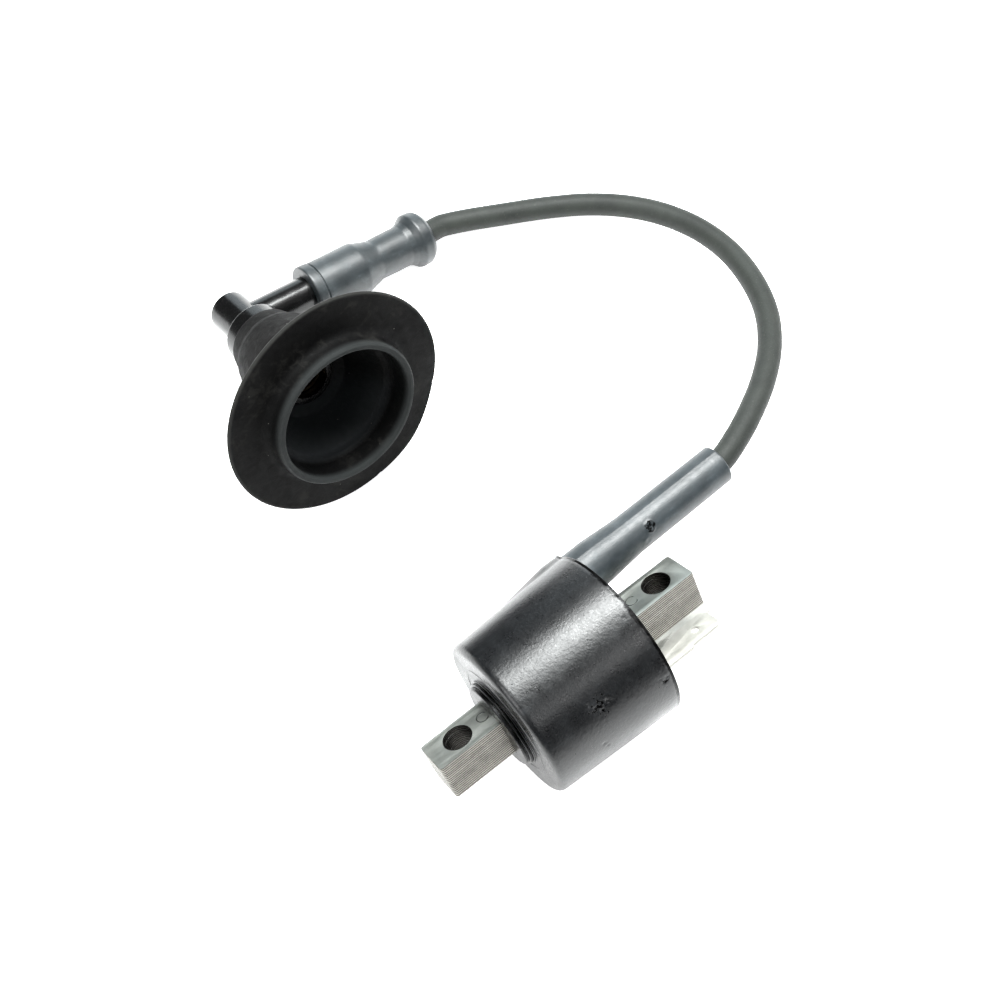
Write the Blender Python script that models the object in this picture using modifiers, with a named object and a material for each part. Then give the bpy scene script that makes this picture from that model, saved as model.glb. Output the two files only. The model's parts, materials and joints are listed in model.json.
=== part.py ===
"""Ignition coil with laminated core bar, high tension lead and angled plug cap with a shroud seal.

The coil lies on its round housing, so its own frame is rolled about the core bar. The plug cap lies
on the edge of its seal. Dimensions are in millimetres and are scaled to metres when a mesh is made.
"""

import math

import bmesh
import bpy
from mathutils import Matrix, Vector

MM = 0.001
COLLECTION_NAME = "ignition_coil"
CLEARANCE = 0.3

# Placing of the coil: centre of the core bar and the roll of the housing about it
COIL_CENTRE = Vector((-11.46, -0.57, 19.8))
COIL_ROLL = math.radians(-33.0)

# Laminated core bar, along X of the coil frame, holes along Z
CORE_LENGTH = 67.4
CORE_WIDTH = 9.0
LAMINATION_COUNT = 18
LAMINATION_PITCH = 0.5
LAMINATION_THICKNESS = 0.44
LAMINATION_CORNER = 0.7
BOLT_HOLE_RADIUS = 3.2
BOLT_HOLE_SPACING = 53.4
CORE_SLOT = CORE_WIDTH + 2 * CLEARANCE

# Housing cup, open towards +X
HOUSING_LEFT = -16.5
HOUSING_RIGHT = 14.2
HOUSING_RADIUS_LEFT = 18.5
HOUSING_RADIUS_RIGHT = 19.8
HOUSING_EDGE = 1.2
HOUSING_WALL = 1.8
BOSS_LENGTH = 2.0
BOSS_RADIUS = 10.4
BOSS_STEP = 0.7
HOUSING_SIDES = 64

# High tension tower, a half-sunk tube on the housing's wall
TOWER_ANGLE = math.radians(50.0)
TOWER_DISTANCE = 14.85
TOWER_RADIUS = 6.2
TOWER_BORE = 5.3
TOWER_START = 10.0
TOWER_RAMP_START = -8.5
TOWER_NOSE_RADIUS = 3.8
TOWER_BORE_FLOOR = 9.9
CONTACT_WELL = 3.7
CONTACT_WELL_FLOOR = 5.0
TOWER_Y = TOWER_DISTANCE * math.sin(TOWER_ANGLE)
TOWER_Z = TOWER_DISTANCE * math.cos(TOWER_ANGLE)

# Windings and what carries them, left of the tower's bore
WINDING_LEFT = -13.9
WINDING_RIGHT = 4.0
FLANGE_THICKNESS = 0.8
PRIMARY_BOBBIN_BORE = 6.75
PRIMARY_BOBBIN_RADIUS = 7.5
PRIMARY_FLANGE_RADIUS = 9.6
PRIMARY_WINDING_RADIUS = 9.3
INSULATION_INNER = 9.9
INSULATION_OUTER = 10.3
SECONDARY_BOBBIN_BORE = 10.6
SECONDARY_BOBBIN_RADIUS = 11.4
SECONDARY_FLANGE_RADIUS = 15.8
SECONDARY_WINDING_RADIUS = 15.2
SECONDARY_SECTIONS = 4
POTTING_LEFT = 5.4
POTTING_RIGHT = 13.2

# Blade terminals, flat plates with their thickness along Z of the coil frame
BLADE_WIDTH = 6.3
BLADE_SHOULDER = 7.5
BLADE_THICKNESS = 0.8
BLADE_ROOT = 7.0
BLADE_CHAMFER_LENGTH = 1.0
BLADE_CHAMFER_WIDTH = 1.5
FRONT_BLADE = {"tip": 34.3, "shoulder": 25.6, "y": -4.35, "z": -9.7, "hole": 5.2}
REAR_BLADE = {"tip": 37.6, "shoulder": 23.0, "y": 3.9, "z": -13.0, "hole": None}
BLADE_HOLE_RADIUS = 0.9

# Rubber sleeve on the lead at the coil
TOWER_MOUTH = COIL_CENTRE + Vector((14.2, 14.73, 1.8))
COIL_SLEEVE_END = TOWER_MOUTH + Vector((42.3, 0.7, 1.1))
COIL_SLEEVE_INSERT = 3.6
COIL_SLEEVE_STEP = 0.5
COIL_SLEEVE_INSERT_RADIUS = 5.0
COIL_SLEEVE_ROOT_RADIUS = 5.45
COIL_SLEEVE_RADIUS = 4.75
COIL_SLEEVE_END_RADIUS = 4.65
COIL_SLEEVE_TAPER_START = 6.0
COIL_SLEEVE_TAPER_END = 15.5

# High tension lead
LEAD_RADIUS = 2.9
LEAD_BORE = LEAD_RADIUS + CLEARANCE
LEAD_POINT_SPACING = 8.0
LEAD_BEVEL_RESOLUTION = 3

# Plug cap: its frame has Z along the barrel towards the plug and X along the arm towards the lead
CAP_CENTRE = Vector((-15.1, 115.95, 16.8))
SEAL_HEADING = math.radians(3.0)
SEAL_TILT = math.radians(74.2)
ARM_DROOP = math.radians(-11.2)
KNOB_RADIUS = 5.2
KNOB_END = -7.8
RING_RADIUS = 7.65
RING_START = 4.0
RING_END = 8.0
BARREL_RADIUS = 6.5
BARREL_END = 27.8
CHAMBER_RADIUS = 3.4
CHAMBER_BACK = -5.6
CHAMBER_END = 17.6
SOCKET_RADIUS = 4.9
ARM_RADIUS = 4.45
ARM_END = 31.4
CAP_SIDES = 36

# Rubber sleeve on the cap's arm, lengths measured along the arm from the barrel's axis
CAP_SLEEVE_START = 17.9
CAP_SLEEVE_GROOVE = 20.5
CAP_SLEEVE_SHOULDER = 32.6
CAP_SLEEVE_NECK = 37.6
CAP_SLEEVE_BEAD = 48.0
CAP_SLEEVE_END = 53.6
CAP_SLEEVE_WIDE = 6.9
CAP_SLEEVE_NARROW = 5.2
CAP_SLEEVE_BEAD_RADIUS = 7.1

# Shroud seal, lengths measured along the barrel from the arm's axis
SEAL_START = RING_END + CLEARANCE
SEAL_DISC = 39.6
SEAL_LIP = 44.5
SEAL_DISC_RADIUS = 27.9
SEAL_DISC_EDGE = 1.2
SEAL_COLLAR_RADIUS = 18.1
SEAL_MOUTH_RADIUS = 16.4
SEAL_NECK_RADIUS = 8.6
SEAL_SIDES = 56

# Parts inside the cap
SCREW_TERMINAL_TIP = 9.0
LEAD_CAP_END = 9.4
RESISTOR_RADIUS = 2.6
RESISTOR_START = 3.4
RESISTOR_END = 14.0
SPRING_RADIUS = 2.2
SPRING_WIRE = 0.35
SPRING_TURNS = 4
SPRING_END = 18.2
CLIP_START = 19.2
CLIP_END = 25.4
CLIP_RADIUS = 4.6
CLIP_BORE = 4.0


def clear_scene():
    for item in list(bpy.data.objects):
        bpy.data.objects.remove(item, do_unlink=True)


def make_collection(name):
    collection = bpy.data.collections.new(name)
    bpy.context.scene.collection.children.link(collection)
    return collection


def make_material(name, colour, roughness, metallic=0.0):
    material = bpy.data.materials.new(name)
    material.use_nodes = True
    shader = material.node_tree.nodes["Principled BSDF"]
    shader.inputs["Base Color"].default_value = (*colour, 1.0)
    shader.inputs["Roughness"].default_value = roughness
    shader.inputs["Metallic"].default_value = metallic
    return material


def place(item, name, parent, material=None, collection=None):
    item.name = name
    item.data.name = name
    item.parent = parent
    (collection or PARTS).objects.link(item)
    if material is not None:
        item.data.materials.append(material)
    return item


def as_cutter(item, name, parent):
    place(item, name, parent, collection=CUTTERS)
    item.hide_render = True
    item.display_type = "WIRE"
    return item


def frame_empty(name, matrix):
    empty = bpy.data.objects.new(name, None)
    empty.matrix_world = matrix
    PARTS.objects.link(empty)
    return empty


def millimetre_frame(location, rotation):
    return Matrix.Translation(location * MM) @ rotation.to_4x4()


def turned(profile, sides):
    """A profile of (radius, height) points turned about Z; it closes on itself unless it ends on the axis."""
    mesh = bpy.data.meshes.new("turned")
    shape = bmesh.new()
    points = [shape.verts.new((radius * MM, 0.0, height * MM)) for radius, height in profile]
    for first, second in zip(points, points[1:]):
        shape.edges.new((first, second))
    if profile[0][0] > 0.0:
        shape.edges.new((points[-1], points[0]))
    shape.to_mesh(mesh)
    shape.free()
    item = bpy.data.objects.new("turned", mesh)
    screw = item.modifiers.new("turn", "SCREW")
    screw.steps = sides
    screw.render_steps = sides
    screw.use_merge_vertices = True
    screw.merge_threshold = 0.000001
    return item


def block(size, centre):
    mesh = bpy.data.meshes.new("block")
    shape = bmesh.new()
    scale = Matrix.Diagonal((size[0] * MM, size[1] * MM, size[2] * MM, 1.0))
    bmesh.ops.create_cube(shape, size=1.0, matrix=Matrix.Translation(Vector(centre) * MM) @ scale)
    shape.to_mesh(mesh)
    shape.free()
    return bpy.data.objects.new("block", mesh)


def rod(start, end, radius, sides):
    """A cylinder between two points of its parent's frame."""
    start, end = Vector(start), Vector(end)
    direction = end - start
    spin = direction.to_track_quat("Z", "Y").to_matrix().to_4x4()
    middle = Matrix.Translation((start + end) * 0.5 * MM)
    mesh = bpy.data.meshes.new("rod")
    shape = bmesh.new()
    bmesh.ops.create_cone(
        shape,
        cap_ends=True,
        segments=sides,
        radius1=radius * MM,
        radius2=radius * MM,
        depth=direction.length * MM,
        matrix=middle @ spin,
    )
    shape.to_mesh(mesh)
    shape.free()
    return bpy.data.objects.new("rod", mesh)


def combine(item, other, operation):
    boolean = item.modifiers.new(operation.lower(), "BOOLEAN")
    boolean.operation = operation
    boolean.object = other
    boolean.solver = "EXACT"


def flat_plate(loops, thickness):
    """A flat outline in XY with its holes, thickened equally above and below its plane."""
    curve = bpy.data.curves.new("plate", "CURVE")
    curve.dimensions = "2D"
    curve.fill_mode = "BOTH"
    curve.extrude = thickness * 0.5 * MM
    for loop in loops:
        spline = curve.splines.new("POLY")
        spline.points.add(len(loop) - 1)
        for point, (x, y) in zip(spline.points, loop):
            point.co = (x * MM, y * MM, 0.0, 1.0)
        spline.use_cyclic_u = True
    return bpy.data.objects.new("plate", curve)


def arc(centre, radius, start, end, steps):
    """Points on an arc, with angles in degrees."""
    points = []
    for step in range(steps + 1):
        angle = math.radians(start + (end - start) * step / steps)
        points.append((centre[0] + radius * math.cos(angle), centre[1] + radius * math.sin(angle)))
    return points


def circle(centre, radius, sides):
    return arc(centre, radius, 0.0, 360.0 * (sides - 1) / sides, sides - 1)


def turn_to_x(item):
    item.rotation_euler = (0.0, math.radians(90.0), 0.0)
    return item


# ---------------------------------------------------------------- coil


def core_laminations(parent, material):
    half_length = CORE_LENGTH * 0.5 - LAMINATION_CORNER
    half_width = CORE_WIDTH * 0.5 - LAMINATION_CORNER
    outline = []
    for quarter, (sign_x, sign_y) in enumerate(((1, 1), (-1, 1), (-1, -1), (1, -1))):
        centre = (sign_x * half_length, sign_y * half_width)
        outline += arc(centre, LAMINATION_CORNER, quarter * 90.0, quarter * 90.0 + 90.0, 2)
    holes = [circle((side * BOLT_HOLE_SPACING * 0.5, 0.0), BOLT_HOLE_RADIUS, 20) for side in (-1, 1)]
    for number in range(LAMINATION_COUNT):
        plate = flat_plate([outline] + holes, LAMINATION_THICKNESS)
        place(plate, f"core_lamination_{number + 1:02d}", parent, material)
        plate.location.z = (number - (LAMINATION_COUNT - 1) * 0.5) * LAMINATION_PITCH * MM


def housing_outer_radius(x):
    share = (x - HOUSING_LEFT) / (HOUSING_RIGHT - HOUSING_LEFT)
    return HOUSING_RADIUS_LEFT + (HOUSING_RADIUS_RIGHT - HOUSING_RADIUS_LEFT) * share


def coil_housing(parent, material):
    inner_floor = HOUSING_LEFT + HOUSING_WALL
    boss_left = HOUSING_LEFT - BOSS_LENGTH
    edge = [
        (radius, height)
        for height, radius in arc(
            (HOUSING_LEFT + HOUSING_EDGE, HOUSING_RADIUS_LEFT - HOUSING_EDGE), HOUSING_EDGE, 90.0, 180.0, 3
        )
    ]
    profile = [
        (housing_outer_radius(inner_floor) - HOUSING_WALL, inner_floor),
        (HOUSING_RADIUS_RIGHT - HOUSING_WALL, HOUSING_RIGHT),
        (HOUSING_RADIUS_RIGHT, HOUSING_RIGHT),
        *edge,
        (BOSS_RADIUS, HOUSING_LEFT),
        (BOSS_RADIUS, boss_left + BOSS_LENGTH * 0.4),
        (BOSS_RADIUS - BOSS_STEP, boss_left + BOSS_LENGTH * 0.4),
        (BOSS_RADIUS - BOSS_STEP, boss_left),
        (0.0, boss_left),
    ]
    housing = turn_to_x(turned([(0.0, inner_floor)] + profile, HOUSING_SIDES))
    place(housing, "coil_housing", parent, material)

    tower = turn_to_x(
        turned(
            [
                (0.0, HOUSING_RIGHT),
                (TOWER_RADIUS, HOUSING_RIGHT),
                (TOWER_RADIUS, TOWER_START),
                (TOWER_NOSE_RADIUS, TOWER_RAMP_START),
                (0.0, TOWER_RAMP_START),
            ],
            32,
        )
    )
    cavity_left = HOUSING_LEFT + HOUSING_WALL
    cavity_right = HOUSING_RIGHT + 2.0
    cavity = turn_to_x(
        turned(
            [
                (0.0, cavity_right),
                (housing_outer_radius(cavity_right) - HOUSING_WALL, cavity_right),
                (housing_outer_radius(cavity_left) - HOUSING_WALL, cavity_left),
                (0.0, cavity_left),
            ],
            HOUSING_SIDES,
        )
    )
    bore = rod((TOWER_BORE_FLOOR, TOWER_Y, TOWER_Z), (cavity_right, TOWER_Y, TOWER_Z), TOWER_BORE, 32)
    well_end = TOWER_BORE_FLOOR + 1.0
    well = rod((CONTACT_WELL_FLOOR, TOWER_Y, TOWER_Z), (well_end, TOWER_Y, TOWER_Z), CONTACT_WELL, 24)
    slot = block((20.0, CORE_SLOT, CORE_SLOT), (HOUSING_LEFT, 0.0, 0.0))
    as_cutter(tower, "tower_tool", parent).location = Vector((0.0, TOWER_Y, TOWER_Z)) * MM
    combine(housing, tower, "UNION")
    combine(housing, as_cutter(cavity, "cavity_tool", parent), "DIFFERENCE")
    combine(housing, as_cutter(bore, "tower_bore_tool", parent), "DIFFERENCE")
    combine(housing, as_cutter(well, "contact_well_tool", parent), "DIFFERENCE")
    combine(housing, as_cutter(slot, "core_slot_tool", parent), "DIFFERENCE")


def tube(outer, inner, left, right, sides):
    """A round tube along X of the coil frame."""
    return turn_to_x(turned([(inner, left), (inner, right), (outer, right), (outer, left)], sides))


def windings(parent, plastic, copper, paper):
    flange_right = WINDING_RIGHT - FLANGE_THICKNESS
    flange_left = WINDING_LEFT + FLANGE_THICKNESS
    spool = [
        (PRIMARY_BOBBIN_BORE, WINDING_LEFT),
        (PRIMARY_BOBBIN_BORE, WINDING_RIGHT),
        (PRIMARY_FLANGE_RADIUS, WINDING_RIGHT),
        (PRIMARY_FLANGE_RADIUS, flange_right),
        (PRIMARY_BOBBIN_RADIUS, flange_right),
        (PRIMARY_BOBBIN_RADIUS, flange_left),
        (PRIMARY_FLANGE_RADIUS, flange_left),
        (PRIMARY_FLANGE_RADIUS, WINDING_LEFT),
    ]
    place(turn_to_x(turned(spool, 32)), "primary_bobbin", parent, plastic)
    wire = tube(
        PRIMARY_WINDING_RADIUS,
        PRIMARY_BOBBIN_RADIUS + CLEARANCE * 0.5,
        flange_left + CLEARANCE,
        flange_right - CLEARANCE,
        32,
    )
    place(wire, "primary_winding", parent, copper)
    layer = tube(INSULATION_OUTER, INSULATION_INNER, WINDING_LEFT, WINDING_RIGHT, 32)
    place(layer, "interlayer_insulation", parent, paper)

    pitch = (WINDING_RIGHT - WINDING_LEFT - FLANGE_THICKNESS) / SECONDARY_SECTIONS
    comb = [(SECONDARY_BOBBIN_BORE, WINDING_LEFT), (SECONDARY_BOBBIN_BORE, WINDING_RIGHT)]
    for section in range(SECONDARY_SECTIONS + 1):
        right = WINDING_RIGHT - section * pitch
        left = right - FLANGE_THICKNESS
        if section > 0:
            comb.append((SECONDARY_BOBBIN_RADIUS, right))
        comb.append((SECONDARY_FLANGE_RADIUS, right))
        comb.append((SECONDARY_FLANGE_RADIUS, left))
        if section < SECONDARY_SECTIONS:
            comb.append((SECONDARY_BOBBIN_RADIUS, left))
    place(turn_to_x(turned(comb, 32)), "secondary_bobbin", parent, plastic)
    for section in range(SECONDARY_SECTIONS):
        right = WINDING_RIGHT - section * pitch - FLANGE_THICKNESS - CLEARANCE
        left = right - pitch + FLANGE_THICKNESS + 2 * CLEARANCE
        wire = tube(
            SECONDARY_WINDING_RADIUS, SECONDARY_BOBBIN_RADIUS + CLEARANCE, left, right, 32
        )
        place(wire, f"secondary_winding_{section + 1}", parent, copper)


def blade_outline(blade, half_width, half_shoulder):
    tip, shoulder, y = blade["tip"], blade["shoulder"], blade["y"]
    upper = [
        (BLADE_ROOT, half_shoulder),
        (shoulder, half_shoulder),
        (shoulder, half_width),
        (tip - BLADE_CHAMFER_LENGTH, half_width),
        (tip, half_width - BLADE_CHAMFER_WIDTH),
    ]
    lower = [(x, -offset) for x, offset in reversed(upper)]
    return [(x, y + offset) for x, offset in upper + lower]


def blade_terminal(name, blade, parent, material):
    loops = [blade_outline(blade, BLADE_WIDTH * 0.5, BLADE_SHOULDER * 0.5)]
    if blade["hole"] is not None:
        loops.append(circle((blade["tip"] - blade["hole"], blade["y"]), BLADE_HOLE_RADIUS, 16))
    terminal = flat_plate(loops, BLADE_THICKNESS)
    place(terminal, name, parent, material)
    terminal.location.z = blade["z"] * MM


def potting(parent, material):
    radius_left = housing_outer_radius(POTTING_LEFT) - HOUSING_WALL - CLEARANCE
    radius_right = housing_outer_radius(POTTING_RIGHT) - HOUSING_WALL - CLEARANCE
    profile = [
        (0.0, POTTING_RIGHT),
        (radius_right, POTTING_RIGHT),
        (radius_left, POTTING_LEFT),
        (0.0, POTTING_LEFT),
    ]
    fill = turn_to_x(turned(profile, HOUSING_SIDES))
    place(fill, "potting_compound", parent, material)
    depth = POTTING_RIGHT - POTTING_LEFT + 4.0
    middle = (POTTING_RIGHT + POTTING_LEFT) * 0.5
    slot = block((depth, CORE_SLOT, CORE_SLOT), (middle, 0.0, 0.0))
    combine(fill, as_cutter(slot, "potting_core_tool", parent), "DIFFERENCE")
    well = rod(
        (POTTING_LEFT - 1.0, TOWER_Y, TOWER_Z),
        (POTTING_RIGHT + 1.0, TOWER_Y, TOWER_Z),
        TOWER_BORE + CLEARANCE,
        32,
    )
    combine(fill, as_cutter(well, "potting_tower_tool", parent), "DIFFERENCE")
    for label, blade in (("front", FRONT_BLADE), ("rear", REAR_BLADE)):
        start = BLADE_ROOT - CLEARANCE
        length = POTTING_RIGHT + 1.0 - start
        pocket = block(
            (length, BLADE_SHOULDER + 2 * CLEARANCE, BLADE_THICKNESS + 2 * CLEARANCE),
            (start + length * 0.5, blade["y"], blade["z"]),
        )
        combine(fill, as_cutter(pocket, f"{label}_pocket_tool", parent), "DIFFERENCE")


def tower_contact(parent, material):
    """The spike that enters the lead's core from the secondary winding's end."""
    profile = [
        (0.0, 10.0),
        (0.5, 9.4),
        (0.9, 8.4),
        (0.9, 6.6),
        (3.3, 6.6),
        (3.3, 5.8),
        (0.0, 5.8),
    ]
    contact = turn_to_x(turned(profile, 20))
    place(contact, "tower_contact", parent, material)
    contact.location = Vector((0.0, TOWER_Y, TOWER_Z)) * MM


# ---------------------------------------------------------------- lead


def coil_sleeve(material):
    direction = COIL_SLEEVE_END - TOWER_MOUTH
    spin = direction.to_track_quat("Z", "Y").to_matrix()
    frame = frame_empty("coil_sleeve_frame", millimetre_frame(TOWER_MOUTH, spin))
    length = direction.length
    profile = [
        (LEAD_BORE, -COIL_SLEEVE_INSERT),
        (LEAD_BORE, length),
        (COIL_SLEEVE_END_RADIUS - 0.3, length),
        (COIL_SLEEVE_END_RADIUS, length - 0.3),
        (COIL_SLEEVE_RADIUS, COIL_SLEEVE_TAPER_END),
        (COIL_SLEEVE_ROOT_RADIUS, COIL_SLEEVE_TAPER_START),
        (COIL_SLEEVE_ROOT_RADIUS, COIL_SLEEVE_STEP + 0.3),
        (COIL_SLEEVE_INSERT_RADIUS, COIL_SLEEVE_STEP),
        (COIL_SLEEVE_INSERT_RADIUS, -COIL_SLEEVE_INSERT),
    ]
    place(turned(profile, 32), "coil_sleeve", frame, material)


# Route of the lead between its two sleeves, over the bench
LEAD_ROUTE = [
    (53.5, 17.35, 22.3),
    (61.0, 20.65, 21.5),
    (69.0, 25.05, 20.1),
    (77.0, 31.05, 18.3),
    (84.1, 39.05, 16.2),
    (89.1, 48.65, 13.9),
    (92.1, 59.65, 11.5),
    (92.3, 70.65, 9.2),
    (89.7, 81.05, 7.2),
    (84.9, 89.85, 5.7),
    (78.1, 97.45, 4.6),
    (70.1, 103.45, 4.0),
    (60.7, 108.65, 4.1),
]


def cap_rotation():
    heading = Matrix.Rotation(SEAL_HEADING, 3, "Z")
    tilt = Matrix.Rotation(SEAL_TILT, 3, "X")
    droop = Matrix.Rotation(ARM_DROOP, 3, "Z")
    return heading @ tilt @ droop


def along_arm(distance):
    return CAP_CENTRE + cap_rotation() @ Vector((distance, 0.0, 0.0))


def along_coil_sleeve(distance):
    direction = (COIL_SLEEVE_END - TOWER_MOUTH).normalized()
    return TOWER_MOUTH + direction * distance


def smooth_curve(points, spacing):
    """A Catmull-Rom curve through the points, read at a steady spacing."""
    ends = [points[0] * 2 - points[1]] + points + [points[-1] * 2 - points[-2]]
    fine = []
    for before, start, end, after in zip(ends, ends[1:], ends[2:], ends[3:]):
        for step in range(12):
            t = step / 12
            fine.append(
                0.5
                * (
                    2 * start
                    + (end - before) * t
                    + (2 * before - 5 * start + 4 * end - after) * t * t
                    + (3 * start - before - 3 * end + after) * t ** 3
                )
            )
    fine.append(points[-1])
    total = sum((b - a).length for a, b in zip(fine, fine[1:]))
    count = round(total / spacing)
    samples = [fine[0]]
    travelled = 0.0
    for first, second in zip(fine, fine[1:]):
        piece = (second - first).length
        while len(samples) < count and travelled + piece >= len(samples) * total / count:
            share = (len(samples) * total / count - travelled) / piece
            samples.append(first.lerp(second, share))
        travelled += piece
    samples.append(fine[-1])
    return samples


def lead_points():
    sleeve_length = (COIL_SLEEVE_END - TOWER_MOUTH).length
    start = [along_coil_sleeve(distance) for distance in (-3.4, 12.0, 27.0, sleeve_length)]
    outside = (CAP_SLEEVE_END + 7.0, CAP_SLEEVE_END + 1.0)
    end = [along_arm(distance) for distance in (*outside, 42.0, 28.0, LEAD_CAP_END)]
    return smooth_curve(start + [Vector(point) for point in LEAD_ROUTE] + end, LEAD_POINT_SPACING)


def ht_lead(material):
    points = lead_points()
    curve = bpy.data.curves.new("lead", "CURVE")
    curve.dimensions = "3D"
    curve.bevel_depth = LEAD_RADIUS * MM
    curve.bevel_resolution = LEAD_BEVEL_RESOLUTION
    curve.use_fill_caps = True
    spline = curve.splines.new("POLY")
    spline.points.add(len(points) - 1)
    for point, position in zip(spline.points, points):
        point.co = (*(position * MM), 1.0)
    place(bpy.data.objects.new("lead", curve), "ht_lead", None, material)


# ---------------------------------------------------------------- plug cap


def cap_body(parent, material):
    barrel = turned(
        [
            (0.0, BARREL_END),
            (BARREL_RADIUS, BARREL_END),
            (BARREL_RADIUS, RING_END),
            (RING_RADIUS, RING_END),
            (RING_RADIUS, RING_START),
            (KNOB_RADIUS, RING_START),
            (KNOB_RADIUS, KNOB_END + 0.6),
            (KNOB_RADIUS - 0.6, KNOB_END),
            (0.0, KNOB_END),
        ],
        CAP_SIDES,
    )
    place(barrel, "cap_body", parent, material)
    arm = rod((0.0, 0.0, 0.0), (ARM_END, 0.0, 0.0), ARM_RADIUS, CAP_SIDES)
    chamber = rod((0.0, 0.0, CHAMBER_BACK), (0.0, 0.0, CHAMBER_END + 0.5), CHAMBER_RADIUS, 32)
    socket = rod((0.0, 0.0, CHAMBER_END), (0.0, 0.0, BARREL_END + 2.0), SOCKET_RADIUS, 32)
    bore = rod((0.5, 0.0, 0.0), (ARM_END + 2.0, 0.0, 0.0), LEAD_BORE, 32)
    combine(barrel, as_cutter(arm, "arm_tool", parent), "UNION")
    combine(barrel, as_cutter(chamber, "chamber_tool", parent), "DIFFERENCE")
    combine(barrel, as_cutter(socket, "socket_tool", parent), "DIFFERENCE")
    combine(barrel, as_cutter(bore, "lead_bore_tool", parent), "DIFFERENCE")


def cap_sleeve(parent, material):
    bead_middle = (CAP_SLEEVE_BEAD + CAP_SLEEVE_END) * 0.5
    bead_swell = CAP_SLEEVE_BEAD_RADIUS - CAP_SLEEVE_NARROW
    bead = [
        (CAP_SLEEVE_NARROW + bead_swell * math.sin(angle), bead_middle + 2.9 * math.cos(angle))
        for angle in (math.radians(degrees) for degrees in range(20, 180, 28))
    ]
    arm_bore = ARM_RADIUS + CLEARANCE
    profile = [
        (arm_bore, CAP_SLEEVE_START),
        (arm_bore, ARM_END + CLEARANCE),
        (LEAD_BORE, ARM_END + CLEARANCE),
        (LEAD_BORE, CAP_SLEEVE_END),
        *bead,
        (CAP_SLEEVE_NARROW, CAP_SLEEVE_BEAD - 0.6),
        (CAP_SLEEVE_NARROW, CAP_SLEEVE_NECK),
        (CAP_SLEEVE_WIDE - 0.1, CAP_SLEEVE_SHOULDER),
        (CAP_SLEEVE_WIDE - 0.2, CAP_SLEEVE_GROOVE),
        (CAP_SLEEVE_WIDE, CAP_SLEEVE_GROOVE - 0.3),
        (CAP_SLEEVE_WIDE, CAP_SLEEVE_START + 0.4),
        (CAP_SLEEVE_WIDE - 0.4, CAP_SLEEVE_START),
    ]
    sleeve = turn_to_x(turned(profile, CAP_SIDES))
    place(sleeve, "cap_sleeve", parent, material)


def shroud_seal(parent, material):
    disc_back = SEAL_DISC - SEAL_DISC_EDGE
    grip = BARREL_RADIUS + CLEARANCE
    profile = [
        (grip, SEAL_START),
        (grip, BARREL_END - 1.0),
        (9.4, BARREL_END),
        (13.2, 34.8),
        (14.8, 37.2),
        (SEAL_MOUTH_RADIUS, SEAL_LIP - 0.4),
        (SEAL_MOUTH_RADIUS + 0.5, SEAL_LIP),
        (SEAL_COLLAR_RADIUS - 0.5, SEAL_LIP),
        (SEAL_COLLAR_RADIUS, SEAL_LIP - 0.5),
        (SEAL_COLLAR_RADIUS + 0.2, SEAL_DISC + 0.8),
        (SEAL_COLLAR_RADIUS + 1.0, SEAL_DISC),
        (SEAL_DISC_RADIUS - 0.3, SEAL_DISC),
        (SEAL_DISC_RADIUS, SEAL_DISC - 0.4),
        (SEAL_DISC_RADIUS - 0.3, disc_back),
        (SEAL_COLLAR_RADIUS + 0.6, disc_back - 0.4),
        (SEAL_COLLAR_RADIUS - 1.0, disc_back - 2.0),
        (13.8, 23.8),
        (10.6, 14.4),
        (9.6, 12.8),
        (SEAL_NECK_RADIUS, SEAL_START + 0.4),
        (SEAL_NECK_RADIUS - 0.4, SEAL_START),
    ]
    place(turned(profile, SEAL_SIDES), "shroud_seal", parent, material)


def cap_internals(parent, brass, ceramic, steel):
    terminal = turn_to_x(
        turned(
            [
                (0.0, SCREW_TERMINAL_TIP),
                (0.4, SCREW_TERMINAL_TIP - 0.8),
                (0.9, 7.0),
                (0.9, 3.2),
                (2.4, 3.2),
                (2.4, -2.4),
                (0.0, -2.4),
            ],
            20,
        )
    )
    place(terminal, "lead_screw_terminal", parent, brass)
    resistor = turned(
        [
            (0.0, RESISTOR_END),
            (RESISTOR_RADIUS - 0.3, RESISTOR_END),
            (RESISTOR_RADIUS, RESISTOR_END - 0.3),
            (RESISTOR_RADIUS, RESISTOR_START + 0.3),
            (RESISTOR_RADIUS - 0.3, RESISTOR_START),
            (0.0, RESISTOR_START),
        ],
        24,
    )
    place(resistor, "suppressor_resistor", parent, ceramic)

    steps = SPRING_TURNS * 12
    start = RESISTOR_END + SPRING_WIRE + 0.1
    curve = bpy.data.curves.new("spring", "CURVE")
    curve.dimensions = "3D"
    curve.bevel_depth = SPRING_WIRE * MM
    curve.bevel_resolution = 1
    curve.use_fill_caps = True
    spline = curve.splines.new("POLY")
    spline.points.add(steps)
    for step, point in enumerate(spline.points):
        angle = step * math.tau / 12
        height = start + (SPRING_END - start) * step / steps
        x, y = SPRING_RADIUS * math.cos(angle), SPRING_RADIUS * math.sin(angle)
        point.co = (x * MM, y * MM, height * MM, 1.0)
    place(bpy.data.objects.new("spring", curve), "contact_spring", parent, steel)

    clip = turned(
        [
            (0.0, CLIP_START + 0.6),
            (CLIP_BORE, CLIP_START + 0.6),
            (CLIP_BORE, CLIP_END),
            (CLIP_RADIUS, CLIP_END),
            (CLIP_RADIUS, CLIP_START),
            (0.0, CLIP_START),
        ],
        24,
    )
    place(clip, "plug_socket_clip", parent, brass)


clear_scene()
PARTS = make_collection(COLLECTION_NAME)
CUTTERS = make_collection("cutters")

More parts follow.
